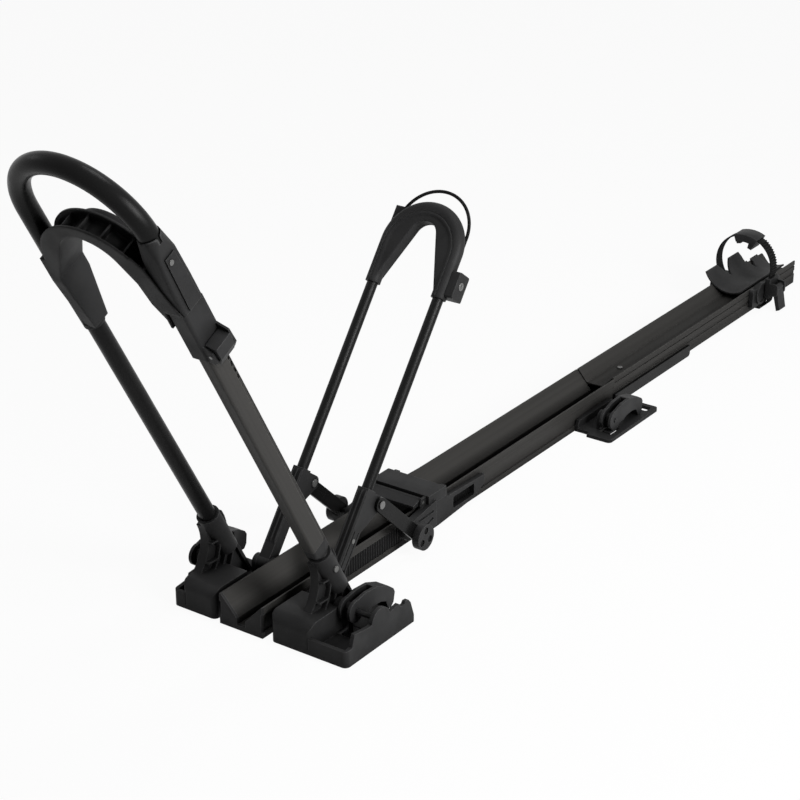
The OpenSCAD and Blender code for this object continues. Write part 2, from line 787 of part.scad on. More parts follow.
// Groove along the near leg's outer face, with the notches of the release pawl
groove_x = -11.5;
notch_pitch = 12;
notch_depth = 1.4;
notch_count = 8;
module near_leg() {
    color(tube_black) front_plane() translate([0, leg_half, 0]) difference() {
        translate([0, 0, leg_cap_h]) linear_extrude(near_leg_len - leg_cap_h) difference() {
            round_rect(-near_leg_d / 2, -near_leg_w / 2, near_leg_d / 2, near_leg_w / 2, 4);
            round_rect(near_leg_wall - near_leg_d / 2, near_leg_wall - near_leg_w / 2,
                near_leg_d / 2 - near_leg_wall, near_leg_w / 2 - near_leg_wall, 1.5);
            translate([groove_x - 2, near_leg_w / 2 - 0.8]) square([4, 2]);
        }
        for (i = [0:notch_count - 1])
            translate([groove_x, near_leg_w / 2 - 1, release_l + 12 - i * notch_pitch])
                cube([3.4, 2 * notch_depth, 7], center = true);
    }
}
module near_leg_cap() {
    plug = 25;
    neck = 8;
    in_w = near_leg_w - 2 * near_leg_wall - 2 * fix_gap;
    in_d = near_leg_d - 2 * near_leg_wall - 2 * fix_gap;
    color(soft_black) front_plane() translate([0, leg_half, 0]) difference() {
        union() {
            translate([0, 0, -socket_depth + 0.3]) cylinder(h = socket_depth + socket_rise + 1, r = leg_r);
            hull() {
                translate([0, 0, socket_rise + neck]) linear_extrude(leg_cap_h - neck - socket_rise)
                    round_rect(-near_leg_d / 2, -near_leg_w / 2, near_leg_d / 2, near_leg_w / 2, 4,
                        $fn = 24);
                translate([0, 0, socket_rise + 0.3]) cylinder(h = 1, r = leg_r - 0.5, $fn = 32);
            }
            translate([0, 0, leg_cap_h - 1]) linear_extrude(plug)
                round_rect(-in_d / 2, -in_w / 2, in_d / 2, in_w / 2, 2);
        }
        bar_across(0, socket_screw_l, socket_screw_r + fix_gap, 0, leg_r + 1);
    }
}

module loop_tube() {
    color(tube_black) front_plane() {
        translate([0, -leg_half, loop_foot]) tube_piece(loop_centre - loop_foot, loop_r, loop_bore);
        half_ring(loop_centre) translate([leg_half, 0]) difference() {
            circle(loop_r);
            circle(loop_bore);
        }
        translate([0, leg_half, loop_centre - collar_grip]) tube_piece(collar_grip, loop_r, loop_bore);
    }
}
module tube_piece(h, r, bore) {
    difference() {
        cylinder(h = h, r = r);
        translate([0, 0, -1]) cylinder(h = h + 2, r = bore);
    }
}

// Opening of the saddle in the hoop's plane, grown by g: round crown, opening flanks, upright arms
module saddle_opening(g) {
    crown_y = (arch_r + g) * sin(flare);
    crown_l = arch_centre + (arch_r + g) * cos(flare);
    knee_y = arm_face + g;
    knee_l = crown_l - (knee_y - crown_y) * tan(flare);
    translate([0, arch_centre]) circle(arch_r + g);
    polygon([[-crown_y, crown_l], [crown_y, crown_l], [knee_y, knee_l], [knee_y, 300], [-knee_y, 300],
        [-knee_y, knee_l]]);
}
module rim_face() {
    difference() {
        union() {
            translate([0, saddle_centre]) circle(rim_r);
            translate([-rim_r, saddle_centre - 30]) square([2 * rim_r, 30]);
        }
        saddle_opening(0);
        translate([arm_face + 0.8, saddle_centre]) square([60, 120]);
        translate([housing_in - 0.1, 300]) square([60, 400]);
        translate([-200, 300]) square([400, saddle_centre - 330]);
    }
}
// Wing of the front rim over the collar
module front_wing() {
    polygon([[arm_face - 12, saddle_centre - 20], [arm_face, collar_foot - 12],
        [housing_in - 0.2, collar_foot - 11], [housing_in - 0.2, collar_foot + 0.3],
        [housing_out - 3, collar_foot + 0.3], [housing_out - 12, collar_foot + 24],
        [housing_in + 2, collar_foot + 76], [arm_face - 8, collar_foot + 92],
        [arm_face - 25, collar_foot + 86]]);
}
// Side view that tapers the far flank down to its sleeve
module flank_face() {
    polygon([[saddle_front, saddle_crown + 60], [saddle_front, loop_foot + 5], [14, sleeve_foot + 8], [-12,
        sleeve_foot + 8],
        [-saddle_back, loop_foot - 8], [-saddle_back, saddle_crown + 60]]);
}
sleeve_top = loop_foot + 7;
rear_rim = 10;
module front_saddle() {
    ribs = [-66, -44, -22, 0, 22, 44];
    color(soft_black) front_plane() difference() {
        union() {
            along(-saddle_back, saddle_front) difference() {
                saddle_opening(saddle_skin);
                saddle_opening(0);
                translate([-200, 0]) square([200, sleeve_foot + 10]);
                translate([0, 0]) square([200, collar_foot - 27]);
            }
            along(saddle_front - saddle_skin, saddle_front) rim_face();
            along(-rear_rim, saddle_skin - rear_rim) rim_face();
            along(saddle_front - 2, saddle_front) front_wing();
            along(1 - rear_rim, saddle_front - 1) intersection() {
                rim_face();
                for (a = ribs) translate([0, saddle_centre]) rotate(a) translate([-1.2, 0])
                    square([2.4, rim_r - 5]);
            }
            box(-saddle_back, saddle_front, -leg_half, -arm_face, sleeve_foot + 8, saddle_centre + 10);
            translate([0, -leg_half, sleeve_foot]) cylinder(h = sleeve_top - sleeve_foot, r1 = leg_r + 2.3,
                r2 = loop_r + 2.5);
        }
        translate([0, -leg_half, sleeve_foot - 1]) cylinder(h = loop_foot - sleeve_foot + 1,
            r = leg_r + 0.2);
        translate([0, -leg_half, loop_foot - 0.1]) cylinder(h = 100, r = loop_r + fix_gap);
        across(-leg_half - 1, 0) difference() {
            translate([-60, sleeve_foot + 8]) square([120, saddle_crown]);
            flank_face();
            translate([1 - leg_r, sleeve_foot]) square([2 * leg_r - 2, sleeve_top - sleeve_foot]);
        }
    }
}

// A round bar along the hoop's normal
module bar_along(y, z, r, x0, x1) {
    translate([x0, y, z]) rotate([0, 90, 0]) cylinder(h = x1 - x0, r = r);
}
// Housing round the near leg, with two cheeks for the release tab on its outer face
module ratchet_housing() {
    color(soft_black) front_plane() difference() {
        union() {
            translate([0, leg_half, housing_foot]) linear_extrude(collar_foot - housing_foot)
                round_rect(-housing_d / 2, -housing_w / 2, housing_d / 2, housing_w / 2, 5);
            along(cheek_back, cheek_back + 3) polygon([[housing_out - 3, housing_foot + 37],
                [housing_out + 16, housing_foot + 27],
                [housing_out + 18, housing_foot + 5], [housing_out + 11, housing_foot - 6],
                [housing_out - 3, housing_foot]]);
            along(cheek_front - 5, cheek_front - 2) polygon([[housing_out - 6, housing_foot + 30],
                [housing_out + 11, housing_foot + 17], [housing_out + 13, housing_foot + 1],
                [housing_out + 6, housing_foot - 5],
                [housing_out - 6, housing_foot]]);
        }
        translate([0, leg_half, housing_foot - 1]) linear_extrude(120)
            round_rect(-cavity_d / 2, -cavity_w / 2, cavity_d / 2, cavity_w / 2, 4);
        bar_along(release_y, release_l, release_pin_r + fix_gap, cheek_back - 1, cheek_front + 1);
        box(groove_x - 2, groove_x + 2, housing_out - 8, housing_out + 1, release_l + 6, release_l + 18);
    }
}

module loop_collar() {
    color(soft_black) front_plane() difference() {
        translate([0, leg_half, 0]) hull() {
            translate([0, 0, collar_foot + 0.1]) linear_extrude(40)
                round_rect(-housing_d / 2 + 1, -housing_w / 2 + 0.5, saddle_front - 2.2, housing_w / 2, 5,
                    $fn = 24);
            translate([0, 0, loop_centre - 22]) linear_extrude(2)
                round_rect(-17.5, -housing_w / 2 + 0.5, 16.5, housing_w / 2, 4, $fn = 24);
            translate([0, 0, collar_top - 8]) cylinder(h = 8, r = collar_top_r, $fn = 48);
        }
        translate([0, leg_half, collar_foot - 1])
            linear_extrude(loop_centre - collar_grip - 12 - collar_foot)
            round_rect(-cavity_d / 2, -cavity_w / 2, cavity_d / 2, cavity_w / 2, 4);
        translate([0, leg_half, loop_centre - collar_grip - 0.2])
            cylinder(h = collar_grip + 0.3, r = loop_r + fix_gap);
        translate([0, leg_half, loop_centre]) cylinder(h = 40, r = loop_r + 0.9);
        translate([0, leg_half, collar_foot]) cylinder(h = 100, r = loop_bore);
        bar_across(cover_screw_x, cover_screw_l, 2 + fix_gap, housing_out - 2.4, housing_out + 1);
    }
}
cover_screw_x = 2;
cover_screw_l = loop_centre - collar_grip - 6;
module collar_cover() {
    color(tube_black) front_plane() across(housing_out + 0.05, housing_out + cover_t) difference() {
        polygon([[-14, collar_foot + 2], [10, collar_foot + 2], [8, loop_centre - 21], [-10,
            loop_centre - 21]]);
        translate([cover_screw_x, cover_screw_l]) circle(2 + fix_gap);
    }
}
module collar_screw() {
    color(bright_steel) front_plane() {
        bar_across(cover_screw_x, cover_screw_l, 2, housing_out - 2.2, housing_out + cover_t);
        bar_across(cover_screw_x, cover_screw_l, 3.6, housing_out + cover_t, housing_out + cover_t + 1.2);
    }
}

module release_pin() {
    color(bright_steel) front_plane() bar_along(release_y, release_l, release_pin_r, cheek_back - 0.6,
        cheek_front - 1.4);
}
spring_wire = 0.6;
spring_pitch = 1.9;
release_turns = 5;
module release_spring() {
    color(bright_steel) front_plane()
        translate([-release_turns * spring_pitch / 2, release_y, release_l]) rotate([0, 90, 0])
            coil(release_pin_r + spring_wire + 0.35, spring_wire, release_turns, spring_pitch);
}
// Release tab: rocker on the pin, with the pawl that reaches through the housing into the leg's notches
module hoop_release_lever() {
    color(soft_black) front_plane() difference() {
        union() {
            along(tab_back, tab_front - 2) {
                polygon([[housing_out + 1, housing_foot + 27], [housing_out + 17, housing_foot + 22],
                    [housing_out + 17.5, housing_foot + 5], [housing_out + 12, housing_foot - 6],
                    [housing_out + 5, housing_foot + 1],
                    [housing_out + 1, release_l]]);
                translate([release_y, release_l]) circle(release_pin_r + 1.5);
            }
            box(groove_x - 1.5, groove_x + 1.5, leg_half + near_leg_w / 2 - 0.6, housing_out + 2,
                release_l + 9.5,
                release_l + 14.5);
        }
        bar_along(release_y, release_l, release_pin_r + run_gap, -40, 40);
        bar_along(release_y, release_l, release_pin_r + 2 * spring_wire + 0.9, -6.6, 6.6);
        box(-6.6, 6.6, housing_out, release_y, release_l - 5, release_l + 5);
    }
}

// Tube with two legs and half a ring
module hoop_bar(r, foot) {
    half_ring(rear_centre) translate([rear_half, 0]) circle(r);
    for (y = [-rear_half, rear_half]) translate([0, y, foot]) cylinder(h = rear_centre - foot, r = r);
}
module rear_hoop_tube() {
    color(tube_black) rear_plane() difference() {
        hoop_bar(rear_r, tube_foot);
        hoop_bar(rear_r - rear_tube_wall, tube_foot - 1);
    }
}
// Opening between the shells' legs: round crown, flanks that open downwards
module shell_opening() {
    lean = 70;
    c = opening_top - opening_r;
    y = opening_r * sin(lean);
    l = c + opening_r * cos(lean);
    foot = rear_centre - sleeve_len - 5;
    translate([0, c]) circle(opening_r);
    polygon([[-y, l], [y, l], [y + (l - foot) / tan(lean), foot], [-y - (l - foot) / tan(lean), foot]]);
}
// Space inside the tube's centreline
module inside_hoop(grow) {
    translate([0, rear_centre]) circle(rear_half + grow, $fn = 96);
    translate([-rear_half - grow, rear_centre - sleeve_len]) square([2 * (rear_half + grow), sleeve_len]);
}
module shell_form() {
    half_ring(rear_centre) translate([rear_half, 0]) circle(shell_r);
    half_ring(rear_centre + crown_rise) translate([rear_half, 0]) circle(shell_r);
    for (y = [-rear_half, rear_half]) translate([0, y, rear_centre - sleeve_len])
        cylinder(h = sleeve_len + crown_rise, r = shell_r);
}
module inner_arch_shell() {
    color(soft_black) rear_plane() difference() {
        union() {
            intersection() {
                shell_form();
                along(-40, 40) inside_hoop(-0.05);
            }
            along(-web_half_d, web_half_d) difference() {
                inside_hoop(-0.05);
                shell_opening();
            }
        }
        hoop_bar(rear_r + fix_gap, rear_centre - sleeve_len - 1);
    }
}
// The outer shell ends on the far side in a shoulder that takes the lock cable
module outer_arch_shell() {
    shoulder_back = cable_off - 5;
    color(tube_black) rear_plane() difference() {
        union() {
            difference() {
                shell_form();
                along(-40, 40) inside_hoop(0.05);
            }
            box(shoulder_back, -3, -rear_half - shell_r + 1, -rear_half + 6, rear_centre + 12,
                rear_centre + 60);
        }
        hoop_bar(rear_r + fix_gap, rear_centre - sleeve_len - 1);
        along(-web_half_d - 3, 40) inside_hoop(0.05);
        cable_path(cable_r + fix_gap);
    }
}

// Side view of a leg bracket in the hoop's plane
module bracket_face() {
    translate([-bracket_half, 0]) square([bracket_d, bracket_h]);
    circle(bracket_eye);
    translate([-lug_behind, lug_along]) circle(lug_r);
    polygon([[0, lug_along + lug_r], [-lug_behind, lug_along + lug_r], [-lug_behind - lug_r, lug_along],
        [-lug_behind - lug_r * 0.7, lug_along - lug_r * 0.7], [-bracket_half, lug_along - 48], [0,
        lug_along - 48]]);
}
bracket_screw_l = 70;
module bracket() {
    difference() {
        across(bracket_in, bracket_out) bracket_face();
        translate([0, rear_half, tube_foot - 0.3]) cylinder(h = bracket_h, r = rear_r + fix_gap);
        bar_across(0, 0, hinge_pin_r + run_gap, bracket_in - 1, bracket_out + 1);
        bar_across(-lug_behind, lug_along, strut_pin_r + fix_gap, bracket_in - 1, bracket_out + 1);
        bar_across(0, bracket_screw_l, 2 + fix_gap, rear_half + rear_r - 2, bracket_out + 1);
        for (x = [-bracket_half + 3, bracket_half - 6]) box(x, x + 3, bracket_out - 1.5, bracket_out + 1,
            16, lug_along - 50);
    }
}
module near_bracket() {
    color(soft_black) rear_plane() bracket();
}
module far_bracket() {
    color(soft_black) rear_plane() mirror([0, 1, 0]) bracket();
}
module bracket_screws() {
    color(bright_steel) rear_plane() both_sides() {
        bar_across(0, bracket_screw_l, 2, rear_half + rear_r + 0.1, bracket_out);
        bar_across(0, bracket_screw_l, 3.4, bracket_out, bracket_out + 0.7);
    }
}
module strut_pins() {
    color(bright_steel) both_sides() {
        bar_across(lug_x, lug_z, strut_pin_r, bracket_in - 0.1, strut_out + 0.4);
        bar_across(lug_x, lug_z, strut_pin_r + 2, bracket_in - 1.6, bracket_in);
        bar_across(lug_x, lug_z, strut_pin_r + 2, strut_out + 0.4, strut_out + 2);
    }
}

lock_front = 6;
lock_back = cable_off - 8;
barrel_r = 6;
barrel_x = -8;
lock_l = lock_foot + 0.55 * lock_h;
module lock_box() {
    color(soft_black) rear_plane() difference() {
        union() {
            across(rear_half + 6, lock_out) round_rect(lock_back, lock_foot, lock_front,
                lock_foot + lock_h, 3);
            across(rear_half - 6, rear_half + 12)
                round_rect(lock_back, lock_foot, -shell_r + 3, lock_foot + lock_h, 3);
        }
        translate([0, rear_half, lock_foot - 20]) cylinder(h = lock_h + 40, r = shell_r + fix_gap);
        cable_path(cable_r + fix_gap);
        bar_across(barrel_x, lock_l, barrel_r + run_gap, lock_out - 11, lock_out + 1);
    }
}
module lock_barrel() {
    color(bright_steel) rear_plane() difference() {
        bar_across(barrel_x, lock_l, barrel_r, lock_out - 10.8, lock_out + 0.6);
        translate([barrel_x, lock_out + 0.6, lock_l]) cube([1.6, 4, 7], center = true);
    }
}
cable_start = 20;
cable_y = rear_half - cable_bend;
module cable_path(r) {
    translate([cable_off, cable_y, cable_centre]) rotate([90, 0, 90])
        rotate_extrude(angle = 180 - cable_start, $fn = 96) translate([cable_bend, 0]) circle(r);
    translate([cable_off, rear_half, lock_foot + lock_h - 12])
        cylinder(h = cable_centre - lock_foot - lock_h + 12, r = r);
}
module lock_cable() {
    color(rubber_black) rear_plane() cable_path(cable_r);
}

module strut() {
    translate([lug_x, 0, lug_z]) rotate([0, -strut_angle, 0]) difference() {
        across(strut_in, strut_out) {
            circle(strut_w / 2);
            translate([0, -strut_w / 2]) square([strut_len, strut_w]);
            translate([strut_len, 0]) circle(strut_w / 2);
        }
        bar_across(0, 0, strut_pin_r + run_gap, strut_in - 1, strut_out + 1);
        bar_across(strut_len, 0, strut_pin_r + run_gap, strut_in - 1, strut_out + 1);
    }
}
module near_strut() {
    color(tube_black) strut();
}
module far_strut() {
    color(tube_black) mirror([0, 1, 0]) strut();
}
// Knob with three sunk fields, and its pin through the strut
module knob() {
    knob_r = knob_d / 2;
    translate([slider_pin_x, 0, hinge_z]) {
        difference() {
            bar_across(0, 0, knob_r, knob_in, knob_in + knob_t);
            for (a = [90, 210, 330]) across(knob_in + knob_t - 3, knob_in + knob_t + 1) rotate(a)
                translate([0.55 * knob_r, 0]) circle(0.27 * knob_r);
        }
        bar_across(0, 0, strut_pin_r, arm_out + slide_gap, knob_in + eps);
    }
}
module near_knob() {
    color(soft_black) knob();
}
module far_knob() {
    color(soft_black) mirror([0, 1, 0]) knob();
}

// Slider: top plate, side walls with windows, forward arms to the strut pins
slider_floor = 3;
side_top = slider_top - 11;
window_x0 = side_front - 122;
window_x1 = side_front - 64;
module slider_side() {
    arm_r = 13;
    difference() {
        union() {
            across(slider_in, slider_wall_out) polygon([[side_front, slider_floor], [side_front,
                slider_top - 4],
                [side_front - top_plate_len, slider_top - 4], [side_front - top_plate_len - 4, rail_h - 5],
                [side_front - side_wall_len, rail_h - 9], [side_front - side_wall_len, 24],
                [side_front - side_wall_len + 30, 10], [side_front - 24, slider_floor]]);
            across(arm_in, arm_out) {
                translate([slider_pin_x, hinge_z]) circle(arm_r);
                polygon([[slider_pin_x - 2, hinge_z + arm_r], [slider_pin_x - 2, hinge_z - arm_r],
                    [side_front - 6, 14],
                    [side_front - 6, side_top]]);
            }
            across(arm_in, slider_wall_out) polygon([[side_front - 4, side_top - 20], [side_front - 4,
                slider_top - 1],
                [lip_x + 5, slider_top - 1], [lip_x + 8, lip_z - 3], [lip_x + 8, side_top - 20]]);
        }
        across(0, slider_wall_out + 1) round_rect(window_x0, 15, window_x1, rail_h - 13, 3);
        box(pawl_x - pawl_len - 0.3, pawl_x + 0.3, 0, slider_in + 6.5, pawl_lo - 0.3, pawl_hi + 0.3);
        bar_across(slider_pin_x, hinge_z, strut_pin_r + 0.2, arm_in - 1, arm_out + 1);
        bar_across(lip_x, lip_z, lip_pin_r + fix_gap, 0, slider_wall_out + 1);
        across(arm_out - 2, arm_out + 1) for (k = [0, 1])
            translate([side_front + 2, hinge_z - 3 + 11 * k]) rotate(-14 + 12 * k) square([40, 4]);
    }
}
module slider_saddle() {
    color(soft_black) {
        both_sides() slider_side();
        box(plate_front - top_plate_len, plate_front, -slider_wall_out - 6, slider_wall_out + 6,
            slider_top - 7, slider_top);
        both_sides() box(plate_front - top_plate_len, plate_front, slider_in, slider_wall_out + 6,
            side_top - 6, slider_top - 3);
    }
}
module lip_pin() {
    color(bright_steel) bar_across(lip_x, lip_z, lip_pin_r, -slider_wall_out, slider_wall_out);
}
lip_turns = 6;
lip_spring_y = 18;
module lip_spring() {
    color(bright_steel) translate([lip_x, lip_spring_y, lip_z]) rotate([-90, 0, 0])
        coil(lip_pin_r + spring_wire + 0.35, spring_wire, lip_turns, spring_pitch);
}
module slider_release_lip() {
    half = arm_in - 1;
    spring_to = lip_spring_y + lip_turns * spring_pitch;
    color(soft_black) difference() {
        union() {
            bar_across(lip_x, lip_z, 6, -half, half);
            across(-half, half) polygon([[lip_x - 3, lip_z - 3], [lip_x - 3, lip_z + 3],
                [lip_x + 2, lip_z + 5.4], [lip_x + 20, lip_z], [lip_x + 20, lip_z - 4],
                [lip_x + 2, lip_z - 4.4]]);
        }
        bar_across(lip_x, lip_z, lip_pin_r + run_gap, -60, 60);
        bar_across(lip_x, lip_z, lip_pin_r + 2 * spring_wire + 0.9, lip_spring_y - 1.5, spring_to + 1.5);
        box(lip_x - 4, lip_x + 2, lip_spring_y - 1.5, spring_to + 1.5, lip_z - 9, lip_z);
    }
}
module pawl() {
    across(rack_tip + 0.25, slider_in + 4) translate([pawl_x - pawl_len, pawl_lo])
        square([pawl_len, pawl_hi - pawl_lo]);
}
module near_pawl() {
    color(bright_steel) pawl();
}
module far_pawl() {
    color(bright_steel) mirror([0, 1, 0]) pawl();
}

// Side view of a cam lever about its pivot: disc, arched arm, hooked tip
lever_arm = [[0, cam_r], [-18, 22], [-45, 23.5], [-72, 17], [-86, 9], [-90, 3], [-89, -12], [-84, -19],
    [-77, -19],
    [-73, -12], [-70, -6], [-58, -3], [-38, -4], [-26, -9], [-13, -cam_r * 0.6]];
module lever_face() {
    circle(cam_r);
    polygon(lever_arm);
}
module cam_lever() {
    difference() {
        union() {
            for (y = [-lever_w / 2, lever_w / 2 - lever_plate]) across(y, y + lever_plate) lever_face();
            across(1 - lever_w / 2, lever_w / 2 - 1) intersection() {
                lever_face();
                translate([-100, -30]) square([58, 70]);
            }
        }
        bar_across(0, 0, clamp_pin_r + run_gap, -30, 30);
    }
}
near_tilt = 8;
far_tilt = 2;
module near_cam_lever() {
    color(soft_black) translate([lever_x, lever_y, lever_z]) rotate([0, -near_tilt, 0]) cam_lever();
}
module far_cam_lever() {
    color(soft_black) translate([lever_x, -far_lever_y, lever_z]) rotate([0, -far_tilt, 0]) cam_lever();
}
module rear_cam_lever() {
    color(soft_black) translate([rear_lever_x, rear_lever_y, rear_lever_z]) cam_lever();
}
// Clamp bolt: slotted eye round the pin, shank, oblong head in the floor's opening
module clamp_bolt(z) {
    eye_w = lever_w - 2 * lever_plate - 2;
    eye_r = clamp_pin_r + 3;
    head_z = pad_proud + bolt_drop;
    difference() {
        union() {
            across(-eye_w / 2, eye_w / 2) {
                translate([0, z]) circle(eye_r);
                translate([0, z + bolt_drop]) circle(eye_r);
                translate([-eye_r, z]) square([2 * eye_r, bolt_drop]);
            }
            translate([0, 0, head_z]) cylinder(h = z - head_z - clamp_pin_r - 1, r = 3.5);
            translate([-bolt_slot_l / 2 + 3, -bolt_slot_w / 2 + 4, head_z])
                cube([bolt_slot_l - 6, bolt_slot_w - 8, 4]);
        }
        across(-eye_w, eye_w) {
            translate([0, z]) circle(clamp_pin_r + 0.2);
            translate([0, z + bolt_drop]) circle(clamp_pin_r + 0.2);
            translate([-clamp_pin_r - 0.2, z]) square([2 * clamp_pin_r + 0.4, bolt_drop]);
        }
    }
}
module near_clamp_bolt() {
    color(bright_steel) translate([lever_x, lever_y, 0]) clamp_bolt(lever_z);
}
module far_clamp_bolt() {
    color(bright_steel) translate([lever_x, -far_lever_y, 0]) clamp_bolt(lever_z);
}
module rear_clamp_bolt() {
    color(bright_steel) translate([rear_lever_x, rear_lever_y, 0]) clamp_bolt(rear_lever_z);
}

// Rear clamp: plate on the crossbar, web with a tongue in the rail's side recess, lug for the lever's pin
rear_plate_t = 6;
rear_plate_in = rail_half + slide_gap;
rear_web_z = rail_z + recess_lo + 10;
rear_pad_x = rear_lever_x + 4;
module rear_clamp() {
    web_t = 6;
    color(soft_black) difference() {
        union() {
            translate([0, 0, pad_proud]) linear_extrude(rear_plate_t)
                round_rect(rear_plate_back, rear_plate_in, rear_plate_front, rear_plate_y, 7);
            across(rear_plate_in, rear_plate_in + web_t) polygon([[rear_plate_front - 4, pad_proud],
                [rear_plate_front - 14, rear_web_z], [rear_plate_back + 40, rear_web_z],
                [rear_plate_back + 30, pad_proud + rear_plate_t]]);
            box(rear_plate_back + 46, rear_plate_front - 20, rail_half - side_recess + slide_gap,
                rear_plate_in + 1,
                rail_z + recess_lo + slide_gap, rear_web_z);
            across(rear_lug_out - 7, rear_lug_out) {
                translate([rear_lever_x, rear_lever_z]) circle(cam_r - 5);
                translate([rear_lever_x - cam_r + 5, pad_proud + 1])
                    square([2 * cam_r - 10, rear_lever_z - pad_proud]);
            }
        }
        translate([rear_lever_x, rear_lever_y, 0]) cube([bolt_slot_l, bolt_slot_w, 60], center = true);
        bar_across(rear_lever_x, rear_lever_z, clamp_pin_r + fix_gap, rear_lug_out - 6, rear_lug_out + 1);
        translate([0, 0, -1]) linear_extrude(60) round_rect(rear_plate_front - 9, rear_plate_in - 10,
            rear_plate_front + 20,
            rear_plate_in + 28, 5);
        translate([0, 0, -1]) linear_extrude(20) round_rect(rear_plate_back + 9, rear_plate_in + 14,
            rear_plate_back + 26,
            rear_plate_y - 9, 4);
        box(rear_plate_back - 1, rail_back + 3, rear_plate_in - 1, joiner_in + joiner_wall + 0.4, -1, 20);
        box(rear_pad_x - 22 - fix_gap, rear_pad_x + 22 + fix_gap, rear_plate_in + 3 - fix_gap,
            rear_lug_out - 1 + fix_gap, -1,
            pad_proud + 2 + fix_gap);
    }
}
module rear_clamp_pin() {
    color(bright_steel) bar_across(rear_lever_x, rear_lever_z, clamp_pin_r, rear_lug_out - 5.8,
        rear_lever_y + lever_w / 2 + 1.5);
}
module rear_clamp_pad() {
    color(rubber_black) box(rear_pad_x - 22, rear_pad_x + 22, rear_plate_in + 3, rear_lug_out - 1, 0,
        pad_proud + 2);
}

// Strap carriage: two cheeks beside the tray, bridge under it, near boss, far anchor
cheek_t = 9;
cheek_out = tray_side + cheek_t;
boss_r = 21;
boss_x = carriage_x + 25;
boss_z = rail_z + tray_top - 12;
boss_out = cheek_out + 4.5;
cheek_foot = 14;
bridge_half = 16;
module carriage_cheek() {
    across(tray_side, cheek_out)
        round_rect(carriage_x - carriage_len / 2, cheek_foot, carriage_x + carriage_len / 2,
            rail_z + tray_top, 5);
}
module strap_carriage() {
    color(soft_black) difference() {
        union() {
            both_sides() carriage_cheek();
            bar_across(boss_x, boss_z, boss_r, tray_side + 2, boss_out);
            box(carriage_x - bridge_half, carriage_x + bridge_half, -cheek_out, cheek_out - 4,
                pad_proud + 0.4,
                pad_proud + tray_lift - slide_gap);
            both_sides() box(carriage_x - bridge_half, carriage_x + bridge_half, tray_side, cheek_out - 6,
                pad_proud + 0.4, cheek_foot + 6);
            box(carriage_x - 17, carriage_x + 17, -cheek_out - 8, -tray_side - 1, cheek_foot + 6,
                rail_z + tray_top);
        }
        translate([0, 0, cradle_z]) rotate([0, 90, 0])
            cylinder(h = 4000, r = cradle_out + 0.1, center = true, $fn = 128);
        bar_across(boss_x, boss_z, boss_r - 4, boss_out - 2, boss_out + 1);
        strap_arc(strap_r - 0.3, strap_t + 0.6, strap_w + 0.6, 180, strap_to + 1);
    }
}
// Cradle: part of a pipe along the tray; high notched wing on the far side, low tail behind
high_wing = 67;
low_wing = 42;
near_wing = 26;
module wheel_cradle() {
    x0 = carriage_x - cradle_len / 2;
    color(soft_black) difference() {
        translate([x0 - tail_len, 0, cradle_z]) rotate([90, 0, 90]) rotate([0, 0, -90 - high_wing])
            rotate_extrude(angle = high_wing + near_wing, $fn = 128)
                translate([cradle_r, 0]) square([cradle_t, cradle_len + tail_len]);
        box(x0 - tail_len - 1, x0, -cradle_out - 1, -cradle_r * sin(low_wing), 0, cradle_z);
        translate([carriage_x, -100, cradle_z - cradle_r * cos(high_wing) + 3]) rotate([0, 45, 0])
            cube([38, 180, 38], center = true);
        translate([x0, -100, cradle_z - cradle_r * cos(high_wing) + 3]) rotate([0, 30, 0])
            cube([12, 180, 70], center = true);
    }
}
// Strap: toothed belt over the tyre, from the far anchor to the buckle, with its tail under the near cheek
strap_from = -14;
strap_to = 222;
strap_drop_y = strap_y + strap_r * cos(strap_from) - 1;
tail_r = 12;
tail_z = 20;
module strap_arc(r, t, w, a0, a1) {
    translate([carriage_x, strap_y, strap_z]) rotate([90, 0, 90]) rotate([0, 0, a0])
        rotate_extrude(angle = a1 - a0, $fn = 96) translate([r, -w / 2]) square([t, w]);
}
module strap_tail(g) {
    half = strap_w / 2 - 0.5 + g;
    box(carriage_x - half, carriage_x + half, strap_drop_y - g, strap_drop_y + strap_t + g, tail_z,
        strap_z + strap_r * sin(strap_from) + 1);
    translate([carriage_x, strap_drop_y - tail_r, tail_z]) rotate([90, 0, 90]) rotate([0, 0, -90])
        rotate_extrude(angle = 90, $fn = 96) translate([tail_r - g, -half])
            square([strap_t + 2 * g, 2 * half]);
}
module tyre_strap() {
    teeth = 15;
    color(rubber_black) {
        strap_arc(strap_r, strap_t, strap_w, strap_from, strap_to);
        for (i = [0:teeth - 1]) strap_arc(strap_r + strap_t - 0.2, 1.4, strap_w - 6, -4 + 4 * i,
            -2 + 4 * i);
        strap_tail(0);
    }
}
pad_from = 63;
pad_to = 110;
module strap_pad() {
    color(soft_black) difference() {
        union() {
            strap_arc(strap_r - 9, 14.4, strap_w + 14, pad_from, pad_to);
            strap_arc(strap_r - 19, 12, strap_w + 12, pad_from + 1, pad_from + 14);
            strap_arc(strap_r - 13, 8, strap_w + 12, pad_to - 12, pad_to - 1);
        }
        strap_arc(strap_r - 0.3, strap_t + 1.8, strap_w + 0.8, pad_from - 5, pad_to + 5);
    }
}
buckle_in = boss_out + 0.1;
buckle_mid = strap_drop_y + strap_t + 5;
buckle_out = buckle_mid + 16;
buckle_foot = 26;
buckle_top = 64;
buckle_half = strap_w / 2 + 6;
buckle_pivot_y = buckle_mid + 8;
buckle_pivot_z = buckle_top - 18;
buckle_pivot_r = 3;
